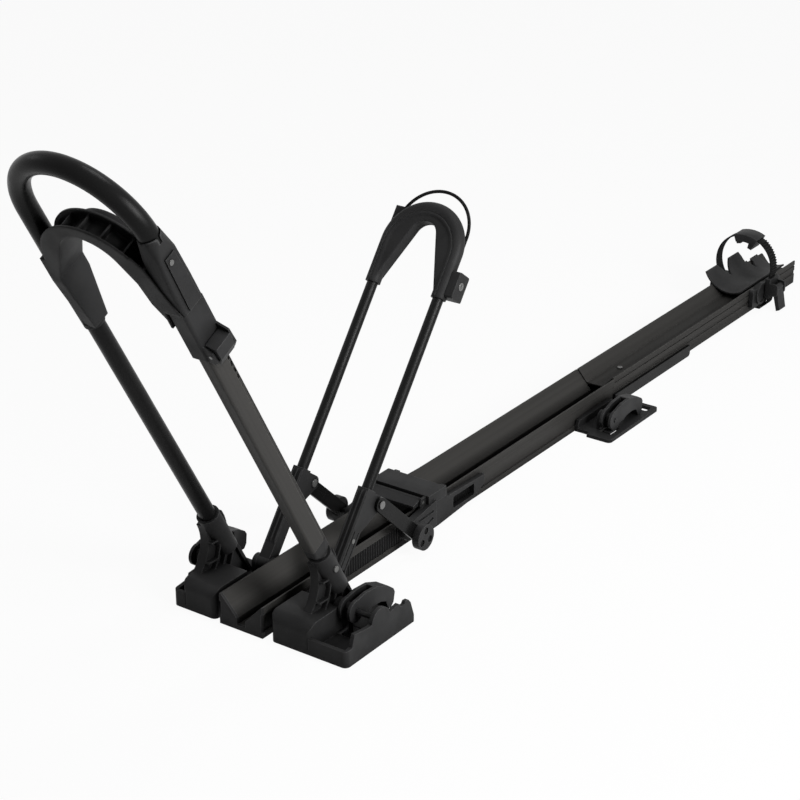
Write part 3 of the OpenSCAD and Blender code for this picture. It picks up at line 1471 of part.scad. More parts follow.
module buckle_body() {
    color(soft_black) difference() {
        union() {
            box(carriage_x - buckle_half, carriage_x + buckle_half, buckle_in, buckle_mid, buckle_foot,
                buckle_top);
            for (x = [carriage_x - buckle_half, carriage_x + buckle_half - 4]) along(x, x + 4)
                round_rect(buckle_mid - 4, buckle_foot + 6, buckle_out, buckle_top - 8, 5);
            along(carriage_x - buckle_half + 1, carriage_x + buckle_half - 1)
                translate([buckle_pivot_y, buckle_pivot_z]) circle(buckle_pivot_r);
        }
        strap_arc(strap_r - 0.4, strap_t + 2.4, strap_w + 0.8, strap_from - 3, 30);
        strap_tail(0.4);
    }
}
module buckle_lever() {
    x0 = carriage_x - buckle_half + 4.5;
    x1 = carriage_x + buckle_half - 4.5;
    color(tube_black) difference() {
        union() {
            bar_along(buckle_pivot_y, buckle_pivot_z, 6.5, x0, x1);
            along(x0, x1) translate([buckle_pivot_y, buckle_pivot_z])
                polygon([[-4, -3], [-4, 3], [5, 2], [13, -40], [6, -43]]);
        }
        bar_along(buckle_pivot_y, buckle_pivot_z, buckle_pivot_r + run_gap, x0 - 1, x1 + 1);
    }
}

near_foot();
far_foot();
rail_end_cap();
front_rail();
ratchet_racks();
rear_tray();
tray_joiner();
joiner_screws();
tray_end_cap();
near_leg();
near_leg_cap();
far_leg();
base_screws();
base_pads();
hoop_hinge_pins();
front_clamp_pins();
loop_tube();
front_saddle();
ratchet_housing();
loop_collar();
collar_cover();
collar_screw();
release_pin();
release_spring();
hoop_release_lever();
rear_hoop_tube();
inner_arch_shell();
outer_arch_shell();
near_bracket();
far_bracket();
bracket_screws();
strut_pins();
lock_box();
lock_barrel();
lock_cable();
near_strut();
far_strut();
near_knob();
far_knob();
slider_saddle();
lip_pin();
lip_spring();
slider_release_lip();
near_pawl();
far_pawl();
near_cam_lever();
far_cam_lever();
near_clamp_bolt();
far_clamp_bolt();
rear_clamp();
rear_clamp_pin();
rear_clamp_pad();
rear_cam_lever();
rear_clamp_bolt();
strap_carriage();
wheel_cradle();
tyre_strap();
strap_pad();
buckle_body();
buckle_lever();
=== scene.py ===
"""Looks of a roof mounted bike carrier: finishes, strap, pad, cable, ribs, springs and a plain studio."""

import json
import math

import bmesh
import bpy
import numpy as np
from mathutils import Matrix, Vector


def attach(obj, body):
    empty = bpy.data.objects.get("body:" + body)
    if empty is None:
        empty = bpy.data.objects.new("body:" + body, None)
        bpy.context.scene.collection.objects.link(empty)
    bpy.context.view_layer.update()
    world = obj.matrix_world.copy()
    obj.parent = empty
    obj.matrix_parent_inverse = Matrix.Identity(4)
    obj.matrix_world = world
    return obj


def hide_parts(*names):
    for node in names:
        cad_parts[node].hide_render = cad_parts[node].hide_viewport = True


bl_info = {
    "name": "Roof bike carrier",
    "version": (1, 0, 0),
    "blender": (4, 5, 0),
    "location": "View3D > Sidebar > Carrier",
    "description": "Dresses the carrier's parts and builds its strap, pad, cable, ribs and springs",
    "category": "Object",
}

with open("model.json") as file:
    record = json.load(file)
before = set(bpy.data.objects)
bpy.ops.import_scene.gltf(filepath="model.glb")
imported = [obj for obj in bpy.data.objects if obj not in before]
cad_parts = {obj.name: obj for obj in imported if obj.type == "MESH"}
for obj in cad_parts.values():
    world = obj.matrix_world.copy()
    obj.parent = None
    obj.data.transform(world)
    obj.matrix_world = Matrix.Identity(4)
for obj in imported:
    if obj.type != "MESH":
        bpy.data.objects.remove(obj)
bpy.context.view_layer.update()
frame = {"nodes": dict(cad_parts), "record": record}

X_AXIS, Y_AXIS, Z_AXIS = np.eye(3)

# The two leaning planes that the hoops stand in: foot of the plane (x, z) and lean in radians
FRONT_FOOT, FRONT_LEAN = (0.024, 0.124), math.radians(29.3)
REAR_FOOT, REAR_LEAN = (-0.049, 0.031), math.radians(-37.0)

# Strap: its place along the tray, then its route across it as (y, z), an arc in degrees, a drop and a tail
CARRIAGE_X = -1.430
STRAP_CENTRE, STRAP_INSIDE, STRAP_ARC = (-0.0005, 0.081), 0.055, (222.0, -10.0)
DROP_INSIDE, DROP_TOP, DROP_BOTTOM = 0.05187, 0.060, 0.0205
TAIL_RADIUS, TAIL_Z, TAIL_ARC = 0.0135, 0.020, (0.0, -90.0)
STRAP_STEPS = 1400

# How far the band stays inside its solid at the borders and at the faces, and how its borders are rounded off
BORDER_SLACK, FACE_SLACK = 0.00005, 0.0001
BORDER_ROUND, BORDER_POWER = 0.35, 24

# The stretch of the strap that has teeth, how they fade at its ends and borders, and how steep they are
TEETH_FROM, TEETH_TO = 0.160, 0.232
FADE_IN, FADE_OUT, FADE_BORDER = 0.004, 0.003, 0.05
TOOTH_LIFT, TOOTH_STEEP = 0.5, 1.4

# Strap pad: radius of its rounded edges, and the angle from which an edge is rounded
PAD_ROUND, PAD_ANGLE = 0.0012, math.radians(40.0)

# Lock cable in the rear hoop's plane, as (across, up): a straight rise from the lock, then a circular bow
CABLE_OFF = -0.0144
RISE_Y, RISE_FROM, RISE_TO = 0.058, 0.471, 0.5365
BOW_CENTRE, BOW_RADIUS, BOW_ARC = (-0.003, 0.537), 0.061, (0.0, 160.0)

# The rear hoop's brackets: front face in front of the hoop's plane, and their middle across the row
BRACKET_FRONT, BRACKET_Y = 0.010, 0.058

# Ribs: depth of the foot in the bracket, how far the ends sink, and their fall in heights of the rib
RIB_FOOT, RIB_SINK, RIB_FALL = 0.0006, 0.0002, 4

# Coil springs: radius and rise of a turn, then where the release tab's and the slider lip's springs stand
COIL_RADIUS, COIL_PITCH, COIL_STEPS = 0.00345, 0.0019, 36
RELEASE_Y, RELEASE_UP, RELEASE_TURNS = 0.1178, 0.445, 5
LIP_FOOT, LIP_TURNS = (-0.294, 0.018, 0.058), 6

# Painted highlights on edges are this many times the colour plus a lift, and painted shade in hollows is a
# share of it
HIGHLIGHT_GAIN, HIGHLIGHT_LIFT, PAINTED_SHADE_SHARE = 2.6, 0.024, 0.1

# How far the roughness swings with the tone, and the depth of the grain
ROUGH_SWING, GRAIN_DEPTH = 0.05, 0.0004

# Floor: half its side, its height, and the share of white that the camera sees on it
FLOOR_HALF, FLOOR_Z, FLOOR_WHITE = 14.0, -0.0004, 0.94

# Lamps: what they point at, then name, place from there and width
LAMP_AIM = Vector((-0.4, 0.0, 0.25))
LAMPS = (("left", (1.2, -2.4, 1.6), 0.8), ("right", (0.4, 2.7, 1.3), 1.2), ("top", (-0.4, 0.3, 3.0), 1.0))

# Camera: its place, and its right, up and backward directions
CAMERA_PLACE = (2.06894, 1.68202, 1.52344)
CAMERA_AXES = ((-0.57895, 0.81536, 0.0), (-0.33555, -0.23826, 0.91139), (0.74312, 0.52765, 0.41154))
SENSOR_WIDTH, CLIP_END = 36.0, 100.0

# Parts whose finish isn't that of their material slot
FINISHES = {
    "lever": ("near_cam_lever", "far_cam_lever", "rear_cam_lever", "near_knob", "far_knob", "buckle_lever",
              "hoop_release_lever", "slider_release_lip", "front_clamp_pins", "rear_clamp_pin",
              "near_clamp_bolt", "far_clamp_bolt", "rear_clamp_bolt"),
    "shell": ("front_saddle", "inner_arch_shell", "outer_arch_shell", "wheel_cradle"),
    "leg": ("near_leg",),
    "bend": ("loop_tube", "far_leg", "rear_hoop_tube"),
    "rack": ("ratchet_racks",),
}

# What the settings have in common
COLOUR = {"subtype": "COLOR", "size": 4, "min": 0.0, "max": 1.0}
LENGTH = {"subtype": "DISTANCE", "unit": "LENGTH"}


class CarrierFinish(bpy.types.PropertyGroup):
    """Colours and surface textures of the carrier's materials."""
    moulding: bpy.props.FloatVectorProperty(
        name="Moulding", description="Colour of the textured mouldings",
        default=(0.019, 0.019, 0.0193, 1.0), **COLOUR)
    lever: bpy.props.FloatVectorProperty(
        name="Levers", description="Colour of the smoother levers and knobs",
        default=(0.022, 0.022, 0.0224, 1.0), **COLOUR)
    anodised: bpy.props.FloatVectorProperty(
        name="Anodised", description="Colour of the extruded rails and the flat leg",
        default=(0.034, 0.033, 0.0315, 1.0), **COLOUR)
    coated: bpy.props.FloatVectorProperty(
        name="Coated tube", description="Colour of the powder coated tubes",
        default=(0.006, 0.006, 0.006, 1.0), **COLOUR)
    rubber: bpy.props.FloatVectorProperty(
        name="Rubber", description="Colour of the strap, pads and cable",
        default=(0.011, 0.011, 0.011, 1.0), **COLOUR)
    zinc: bpy.props.FloatVectorProperty(
        name="Zinc", description="Colour of pins, screws and springs",
        default=(0.16, 0.16, 0.157, 1.0), **COLOUR)
    edge_radius: bpy.props.FloatProperty(
        name="Edge radius", description="Radius that rounds the moulded edges",
        default=0.0016, min=0.0002, max=0.004, **LENGTH)
    grain: bpy.props.FloatProperty(
        name="Grain", description="Grains of the moulded texture in one metre",
        default=900.0, min=200.0, max=3000.0)


class CarrierStrap(bpy.types.PropertyGroup):
    """Sizes of the toothed strap."""
    width: bpy.props.FloatProperty(
        name="Width", description="Width of the strap", default=0.022, min=0.015, max=0.025, **LENGTH)
    thickness: bpy.props.FloatProperty(
        name="Thickness", description="Thickness between the teeth",
        default=0.003, min=0.002, max=0.0035, **LENGTH)
    tooth: bpy.props.FloatProperty(
        name="Tooth", description="Height of a tooth", default=0.0018, min=0.0, max=0.0025, **LENGTH)
    pitch: bpy.props.FloatProperty(
        name="Pitch", description="Distance from tooth to tooth",
        default=0.0050, min=0.002, max=0.008, **LENGTH)


class CarrierWire(bpy.types.PropertyGroup):
    """Sizes of the lock's cable and of the coil springs."""
    cable: bpy.props.FloatProperty(
        name="Cable", description="Diameter of the lock's cable",
        default=0.005, min=0.004, max=0.006, **LENGTH)
    wire: bpy.props.FloatProperty(
        name="Wire", description="Diameter of the springs' wire",
        default=0.0012, min=0.0006, max=0.0014, **LENGTH)


class CarrierRibs(bpy.types.PropertyGroup):
    """Sizes of the ribs on the rear hoop's brackets."""
    width: bpy.props.FloatProperty(
        name="Width", description="Width of a rib", default=0.0028, min=0.001, max=0.004, **LENGTH)
    proud: bpy.props.FloatProperty(
        name="Proud", description="Height of a rib over the bracket",
        default=0.0022, min=0.0005, max=0.003, **LENGTH)
    spread: bpy.props.FloatProperty(
        name="Spread", description="Distance from rib to rib",
        default=0.0072, min=0.004, max=0.0075, **LENGTH)
    start: bpy.props.FloatProperty(
        name="Start", description="Lower end, measured up the leg from its hinge",
        default=0.030, min=0.02, max=0.06, **LENGTH)
    end: bpy.props.FloatProperty(
        name="End", description="Upper end, measured up the leg from its hinge",
        default=0.144, min=0.1, max=0.146, **LENGTH)


class CarrierStage(bpy.types.PropertyGroup):
    """Floor, lamps and camera."""
    floor: bpy.props.FloatVectorProperty(
        name="Floor", description="Colour of the floor", default=(0.7, 0.7, 0.7, 1.0), **COLOUR)
    left: bpy.props.FloatProperty(
        name="Left", description="Power of the weak lamp at the left, in watts",
        default=4.0, min=0.0, max=300.0)
    right: bpy.props.FloatProperty(
        name="Right", description="Power of the large lamp at the right, in watts",
        default=115.0, min=0.0, max=300.0)
    top: bpy.props.FloatProperty(
        name="Top", description="Power of the lamp above, in watts", default=36.0, min=0.0, max=300.0)
    sky: bpy.props.FloatProperty(
        name="Sky", description="Strength of the even light from all round",
        default=0.07, min=0.0, max=1.0)
    lens: bpy.props.FloatProperty(
        name="Lens", description="Focal length on a 36 mm sensor, in millimetres",
        default=97.2, min=20.0, max=200.0)


# Node groups and materials

def new_group(name, inputs, outputs):
    """An empty shader group with the given sockets, and its input and output nodes."""
    tree = bpy.data.node_groups.new(name, "ShaderNodeTree")
    for label, kind, value in inputs:
        tree.interface.new_socket(label, in_out="INPUT", socket_type=kind).default_value = value
    for label, kind in outputs:
        tree.interface.new_socket(label, in_out="OUTPUT", socket_type=kind)
    return tree, tree.nodes.new("NodeGroupInput"), tree.nodes.new("NodeGroupOutput")


def feed(tree, socket, value):
    """Links a socket to another one, or sets it to a plain value."""
    if isinstance(value, bpy.types.NodeSocket):
        tree.links.new(value, socket)
    else:
        socket.default_value = value


def math_node(tree, operation, a, b):
    """A Math node with its two values linked or set."""
    node = tree.nodes.new("ShaderNodeMath")
    node.operation = operation
    feed(tree, node.inputs[0], a)
    feed(tree, node.inputs[1], b)
    return node.outputs[0]


def mix_colour(tree, factor, a, b):
    """A colour that goes from a to b as the factor goes from 0 to 1."""
    node = tree.nodes.new("ShaderNodeMix")
    node.data_type = "RGBA"
    for label, value in (("Factor", factor), ("A", a), ("B", b)):
        feed(tree, node.inputs[label], value)
    return node.outputs["Result"]


def ramp(tree, value, lo, hi, to_lo=0.0, to_hi=1.0):
    """A smooth step from lo to hi, given out between to_lo and to_hi."""
    node = tree.nodes.new("ShaderNodeMapRange")
    node.interpolation_type = "SMOOTHSTEP"
    for socket, number in zip(node.inputs, (value, lo, hi, to_lo, to_hi)):
        feed(tree, socket, number)
    return node.outputs[0]


def noise(tree, coords, scale, detail):
    """A noise texture on the given coordinates."""
    node = tree.nodes.new("ShaderNodeTexNoise")
    for label, value in (("Vector", coords), ("Scale", scale), ("Detail", detail)):
        feed(tree, node.inputs[label], value)
    return node.outputs[0]


def soft_edge_group():
    """Rounds edges in the normals, and masks them by a step on the cosine between round and flat normal."""
    tree, given, put = new_group("Soft edge", [("Radius", "NodeSocketFloat", 0.0016)],
                                 [("Normal", "NodeSocketVector"), ("Edge", "NodeSocketFloat")])
    bevel = tree.nodes.new("ShaderNodeBevel")
    bevel.samples = 4
    tree.links.new(given.outputs["Radius"], bevel.inputs["Radius"])
    flat = tree.nodes.new("ShaderNodeNewGeometry")
    dot = tree.nodes.new("ShaderNodeVectorMath")
    dot.operation = "DOT_PRODUCT"
    tree.links.new(bevel.outputs[0], dot.inputs[0])
    tree.links.new(flat.outputs["Normal"], dot.inputs[1])
    tree.links.new(bevel.outputs[0], put.inputs["Normal"])
    tree.links.new(ramp(tree, dot.outputs["Value"], lo=0.99, hi=0.80), put.inputs["Edge"])
    return tree


def painted_shade_group():
    """Masks the hollows for painted shade: how much of what is near hides the sky from a point."""
    tree, given, put = new_group("Hollows", [("Reach", "NodeSocketFloat", 0.03)],
                                 [("Hollow", "NodeSocketFloat")])
    seen = tree.nodes.new("ShaderNodeAmbientOcclusion")
    seen.samples = 2
    tree.links.new(given.outputs["Reach"], seen.inputs["Distance"])
    tree.links.new(ramp(tree, seen.outputs["AO"], lo=0.95, hi=0.25), put.inputs["Hollow"])
    return tree


def grain_group():
    """Fine moulded grain as a height, and a slow cloudy tone from handling."""
    tree, given, put = new_group("Moulded grain", [("Grains", "NodeSocketFloat", 900.0)],
                                 [("Height", "NodeSocketFloat"), ("Tone", "NodeSocketFloat")])
    at = tree.nodes.new("ShaderNodeTexCoord").outputs["Object"]
    tree.links.new(noise(tree, at, scale=given.outputs["Grains"], detail=2.0), put.inputs["Height"])
    cloud = noise(tree, at, scale=22.0, detail=5.0)
    tree.links.new(ramp(tree, cloud, lo=0.3, hi=0.7), put.inputs["Tone"])
    return tree


def draw_line_group():
    """Fine lines of an extruded bar: noise stretched along the bar's own direction, which Turn sets."""
    tree, given, put = new_group("Draw lines", [("Turn", "NodeSocketVector", (0.0, 0.0, 0.0))],
                                 [("Height", "NodeSocketFloat"), ("Tone", "NodeSocketFloat")])
    place = tree.nodes.new("ShaderNodeMapping")
    place.vector_type = "TEXTURE"
    tree.links.new(tree.nodes.new("ShaderNodeTexCoord").outputs["Object"], place.inputs["Vector"])
    tree.links.new(given.outputs["Turn"], place.inputs["Rotation"])
    place.inputs["Scale"].default_value = (1.2, 0.011, 0.011)
    tree.links.new(noise(tree, place.outputs[0], scale=14.0, detail=3.0), put.inputs["Height"])
    cloud = noise(tree, place.outputs[0], scale=1.4, detail=4.0)
    tree.links.new(ramp(tree, cloud, lo=0.32, hi=0.68), put.inputs["Tone"])
    return tree


def group_node(tree, name, settings):
    """A node of the named group with its inputs set."""
    node = tree.nodes.new("ShaderNodeGroup")
    node.node_tree = bpy.data.node_groups[name]
    for label, value in settings.items():
        node.inputs[label].default_value = value
    return node


def tinted(colour, gain, lift=0.0):
    """The colour times gain plus lift, opaque."""
    return [gain * c + lift for c in colour[:3]] + [1.0]


def finish(name, colour, texture, settings, roughness, bump, edge_radius, metal=0.0, specular=0.07,
           edge=0.8, vary=0.14, hollow_shade=0.9):
    """A material: its colour varies with the texture's tone, has a painted highlight on edges and painted
    shade in hollows.
    """
    mat = bpy.data.materials.new(name)
    mat.use_nodes = True
    tree = mat.node_tree
    shader = tree.nodes["Principled BSDF"]
    soft = group_node(tree, "Soft edge", {"Radius": edge_radius})
    skin = group_node(tree, texture, settings)
    deep = group_node(tree, "Hollows", {})
    tone = skin.outputs["Tone"]
    painted_highlight = math_node(tree, "MULTIPLY", soft.outputs["Edge"], edge)
    painted_shade = math_node(tree, "MULTIPLY", deep.outputs["Hollow"], hollow_shade)
    base = mix_colour(tree, tone, tinted(colour, 1 - vary), tinted(colour, 1 + vary))
    # Painted highlight on edges: the colour lightens towards a multiple of itself plus a lift
    base = mix_colour(tree, painted_highlight, base, tinted(colour, HIGHLIGHT_GAIN, HIGHLIGHT_LIFT))
    # Painted shade in hollows: the colour darkens towards a share of itself
    base = mix_colour(tree, painted_shade, base, tinted(colour, PAINTED_SHADE_SHARE))
    tree.links.new(base, shader.inputs["Base Color"])
    rough = ramp(tree, tone, 0.0, 1.0, roughness + ROUGH_SWING, roughness - ROUGH_SWING)
    tree.links.new(rough, shader.inputs["Roughness"])
    height = tree.nodes.new("ShaderNodeBump")
    height.inputs["Strength"].default_value = bump
    height.inputs["Distance"].default_value = GRAIN_DEPTH
    tree.links.new(skin.outputs["Height"], height.inputs["Height"])
    tree.links.new(soft.outputs["Normal"], height.inputs["Normal"])
    tree.links.new(height.outputs[0], shader.inputs["Normal"])
    shader.inputs["Metallic"].default_value = metal
    shader.inputs["Specular IOR Level"].default_value = specular
    return mat


class CARRIER_OT_finishes(bpy.types.Operator):
    """Make the finishes and put them on every part, by its material slot or its own finish"""
    bl_idname = "carrier.finishes"
    bl_label = "Finishes"

    def execute(self, context):
        look = context.scene.carrier_finish
        for make_group in (soft_edge_group, painted_shade_group, grain_group, draw_line_group):
            make_group()
        grain = {"Grains": look.grain}
        coat = {"Grains": 420.0}
        leg_turn = {"Turn": (0.0, FRONT_LEAN - math.pi / 2, 0.0)}
        made = {
            "plastic": finish("Textured moulding", look.moulding, "Moulded grain", grain,
                              roughness=0.50, bump=0.16, edge_radius=look.edge_radius),
            "lever": finish("Smooth moulding", look.lever, "Moulded grain", grain,
                            roughness=0.40, bump=0.07, edge_radius=look.edge_radius),
            "shell": finish("Sculpted moulding", look.moulding, "Moulded grain", grain,
                            roughness=0.50, bump=0.12, edge_radius=0.005, edge=0.3),
            "anodised": finish("Black anodised", look.anodised, "Draw lines", {},
                               roughness=0.42, bump=0.06, edge_radius=0.0007, specular=0.02, vary=0.06),
            "leg": finish("Black anodised leg", look.anodised, "Draw lines", leg_turn,
                          roughness=0.42, bump=0.06, edge_radius=0.0012, specular=0.06, vary=0.06),
            "tube": finish("Powder coat", look.coated, "Moulded grain", coat,
                           roughness=0.30, bump=0.015, edge_radius=0.001, specular=0.08, vary=0.06),
            "bend": finish("Powder coated tube", look.coated, "Moulded grain", coat,
                           roughness=0.30, bump=0.01, edge_radius=0.006, specular=0.08, vary=0.06, edge=0.0),
            "rack": finish("Rack moulding", tinted(look.moulding, 0.3), "Moulded grain", grain,
                           roughness=0.45, bump=0.1, edge_radius=0.0004, edge=0.15),
            "rubber": finish("Rubber", look.rubber, "Moulded grain", {"Grains": 600.0},
                             roughness=0.72, bump=0.2, edge_radius=0.001, specular=0.04),
            "steel": finish("Dull zinc", look.zinc, "Moulded grain", {"Grains": 300.0},
                            roughness=0.36, bump=0.05, edge_radius=0.0004, metal=0.8, edge=0.3, hollow_shade=0.3),
        }
        for part in frame["record"]["subparts"]:
            name = part["node"]
            kind = next((kind for kind, names in FINISHES.items() if name in names), part["material_slot"])
            for place in frame["nodes"][name].material_slots:
                place.material = made[kind]
        return {"FINISHED"}


# Pieces

def place_piece(piece, body, material, node=None):
    """Links a piece, gives it a material and lets it ride on a body, in place of a node if one is named."""
    bpy.context.scene.collection.objects.link(piece)
    piece.data.materials.clear()
    piece.data.materials.append(bpy.data.materials[material])
    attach(piece, body)
    if node:
        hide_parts(node)
    return piece


def add_piece(name, rings, body, material, node=None):
    """A closed skin through rings of points (n, m, 3), capped at both ends."""
    n, m = rings.shape[:2]
    i, j = np.meshgrid(np.arange(n - 1), np.arange(m), indexing="ij")
    k = (j + 1) % m
    sides = np.stack([i * m + j, i * m + k, (i + 1) * m + k, (i + 1) * m + j], -1).reshape(-1, 4)
    caps = [np.arange(m)[::-1].tolist(), ((n - 1) * m + np.arange(m)).tolist()]
    mesh = bpy.data.meshes.new(name)
    mesh.from_pydata(rings.reshape(-1, 3).tolist(), [], sides.tolist() + caps)
    mesh.shade_smooth()
    edit = bmesh.new()
    edit.from_mesh(mesh)
    bmesh.ops.recalc_face_normals(edit, faces=edit.faces)
    edit.to_mesh(mesh)
    edit.free()
    return place_piece(bpy.data.objects.new(name, mesh), body, material, node)


def leaning(foot, lean, off, across, up):
    """Points by a leaning plane: up runs along the legs, off stands on the plane, across is the row's Y."""
    s, c = math.sin(lean), math.cos(lean)
    x, z = foot[0] + up * s + off * c, foot[1] + up * c - off * s
    return np.stack(np.broadcast_arrays(x, across, z), -1)


def stand_off(lean):
    """The direction that stands on a leaning plane."""
    return np.array([math.cos(lean), 0.0, -math.sin(lean)])


def straight(across, start, end, count):
    """Points of a straight run in a plane: across stays, the second number goes from start to end."""
    return np.column_stack([np.full(count, across), np.linspace(start, end, count)])


def arc(centre, radius, start, end, count):
    """Points of an arc in a plane: centre + radius * (cosine, sine) of the degrees from start to end."""
    turn = np.radians(np.linspace(start, end, count))
    return np.stack([centre[0] + radius * np.cos(turn), centre[1] + radius * np.sin(turn)], -1)


def circle(radius, sides):
    """A round profile: radius * (cosine, sine) of equal turns."""
    turn = np.linspace(0.0, 2.0 * math.pi, sides, endpoint=False)
    return radius * np.stack([np.cos(turn), np.sin(turn)], -1)[None]


def run_along(path):
    """How far each point lies along a path: the sum of the steps up to it."""
    return np.concatenate([[0.0], np.cumsum(np.linalg.norm(np.diff(path, axis=0), axis=1))])


def directions(path):
    """Unit directions along a path, from the differences of its neighbouring points."""
    along = np.gradient(path, axis=0)
    return along / np.linalg.norm(along, axis=1)[:, None]


def sweep(path, normal, binormal, profile):
    """Rings of a profile carried along a path: path + first number * normal + second number * binormal."""
    normal = np.broadcast_to(normal, path.shape)[:, None]
    binormal = np.broadcast_to(binormal, path.shape)[:, None]
    return path[:, None] + profile[..., :1] * normal + profile[..., 1:] * binormal


class CARRIER_OT_lock_cable(bpy.types.Operator):
    """Run the lock's cable from the lock over the rear arch and into its far shoulder"""
    bl_idname = "carrier.lock_cable"
    bl_label = "Lock cable"

    def execute(self, context):
        radius = context.scene.carrier_wire.cable / 2
        # A round tube along a straight rise and a circular bow, in a plane behind the hoop's own
        route = np.concatenate([straight(RISE_Y, RISE_FROM, RISE_TO, 40),
                                arc(BOW_CENTRE, BOW_RADIUS, *BOW_ARC, 120)])
        path = leaning(REAR_FOOT, REAR_LEAN, CABLE_OFF, route[:, 0], route[:, 1])
        off = stand_off(REAR_LEAN)
        rings = sweep(path, off, np.cross(directions(path), off), circle(radius, 20))
        piece = add_piece("lock_wire", rings, "rear_hoop", "Rubber", "lock_cable")
        return {"FINISHED"}


class CARRIER_OT_tyre_strap(bpy.types.Operator):
    """Build the toothed strap from the far anchor over the wheel, through the buckle, to its tail"""
    bl_idname = "carrier.tyre_strap"
    bl_label = "Tyre strap"

    def execute(self, context):
        size = context.scene.carrier_strap
        # The middle of the band, as points at equal steps along its arc, drop and tail
        drop_y = DROP_INSIDE + size.thickness / 2
        line = np.concatenate([arc(STRAP_CENTRE, STRAP_INSIDE + size.thickness / 2, *STRAP_ARC, 420),
                               straight(drop_y, DROP_TOP, DROP_BOTTOM, 60),
                               arc((drop_y - TAIL_RADIUS, TAIL_Z), TAIL_RADIUS, *TAIL_ARC, 60)])
        run = run_along(line)
        steps = np.linspace(0.0, run[-1], STRAP_STEPS)
        line = np.stack([np.interp(steps, run, line[:, k]) for k in (0, 1)], -1)
        along = directions(line)
        path = np.column_stack([np.full(len(steps), CARRIAGE_X), line])
        normal = np.column_stack([np.zeros(len(steps)), -along[:, 1], along[:, 0]])
        # Teeth: a clipped cosine of the run, on the strap's outer middle, between the pad and the buckle
        fade = np.clip((steps - TEETH_FROM) / FADE_IN, 0, 1) * np.clip((TEETH_TO - steps) / FADE_OUT, 0, 1)
        wave = np.cos(2 * math.pi * steps / size.pitch)
        tooth = size.tooth * fade * np.clip(TOOTH_LIFT + TOOTH_STEEP * wave, 0, 1)
        # Across the band: flat faces that fall off close to the borders by a high power of the distance
        wide = np.concatenate([np.linspace(-1, -0.9, 4), np.linspace(-0.5, 0.5, 5), np.linspace(0.9, 1, 4)])
        across = (size.width / 2 - BORDER_SLACK) * wide
        crown = (size.thickness / 2 - FACE_SLACK) * (1 - BORDER_ROUND * np.abs(wide) ** BORDER_POWER)
        band = np.clip((1.0 - np.abs(wide)) / FADE_BORDER, 0, 1)
        outer = np.stack(np.broadcast_arrays(crown + tooth[:, None] * band, across), -1)
        inner = np.broadcast_to(np.column_stack([-crown, across])[::-1], outer.shape)
        rings = sweep(path, normal, X_AXIS, np.concatenate([outer, inner], 1))
        add_piece("strap_band", rings, "carriage", "Rubber", "tyre_strap")
        return {"FINISHED"}


class CARRIER_OT_strap_pad(bpy.types.Operator):
    """Round the edges of the pad that keeps the strap off the rim"""
    bl_idname = "carrier.strap_pad"
    bl_label = "Strap pad"

    def execute(self, context):
        # A copy of the solid's mesh, merged and freed of the edges inside its flat faces
        mesh = frame["nodes"]["strap_pad"].data.copy()
        edit = bmesh.new()
        edit.from_mesh(mesh)
        bmesh.ops.remove_doubles(edit, verts=edit.verts, dist=1e-6)
        bmesh.ops.dissolve_limit(edit, angle_limit=math.radians(1.0), verts=edit.verts, edges=edit.edges)
        edit.to_mesh(mesh)
        edit.free()
        mesh.shade_smooth()
        pad = bpy.data.objects.new("rim_guard", mesh)
        place_piece(pad, "carriage", "Textured moulding", "strap_pad")
        rounded = pad.modifiers.new("Round", "BEVEL")
        rounded.width = PAD_ROUND
        rounded.segments = 3
        rounded.limit_method = "ANGLE"
        rounded.angle_limit = PAD_ANGLE
        rounded.harden_normals = True
        return {"FINISHED"}


class CARRIER_OT_bracket_ribs(bpy.types.Operator):
    """Run three rounded ribs up the front of each bracket of the rear hoop"""
    bl_idname = "carrier.bracket_ribs"
    bl_label = "Bracket ribs"

    def execute(self, context):
        size = context.scene.carrier_ribs
        up = np.linspace(size.start, size.end, 90)
        # The rib's height falls to its ends as a quarter ellipse, and across it is half an ellipse on a foot
        near_end = np.clip(np.minimum(up - size.start, size.end - up) / (RIB_FALL * size.proud), 0, 1)
        height = size.proud * np.sqrt(1 - (1 - near_end) ** 2) - RIB_SINK
        turn = np.linspace(0.0, math.pi, 13)
        half = size.width / 2
        top = np.stack(np.broadcast_arrays(height[:, None] * np.sin(turn), half * np.cos(turn)), -1)
        foot = np.broadcast_to(np.array([[-RIB_FOOT, -half], [-RIB_FOOT, half]]), (len(up), 2, 2))
        profile = np.concatenate([top, foot], 1)
        for side, name in ((1, "near"), (-1, "far")):
            for k, across in enumerate(np.array([-1.0, 0.0, 1.0]) * size.spread + BRACKET_Y):
                path = leaning(REAR_FOOT, REAR_LEAN, BRACKET_FRONT, side * across, up)
                rings = sweep(path, stand_off(REAR_LEAN), Y_AXIS, profile)
                add_piece(f"{name}_bracket_rib_{k + 1}", rings, "rear_hoop", "Textured moulding")
        return {"FINISHED"}


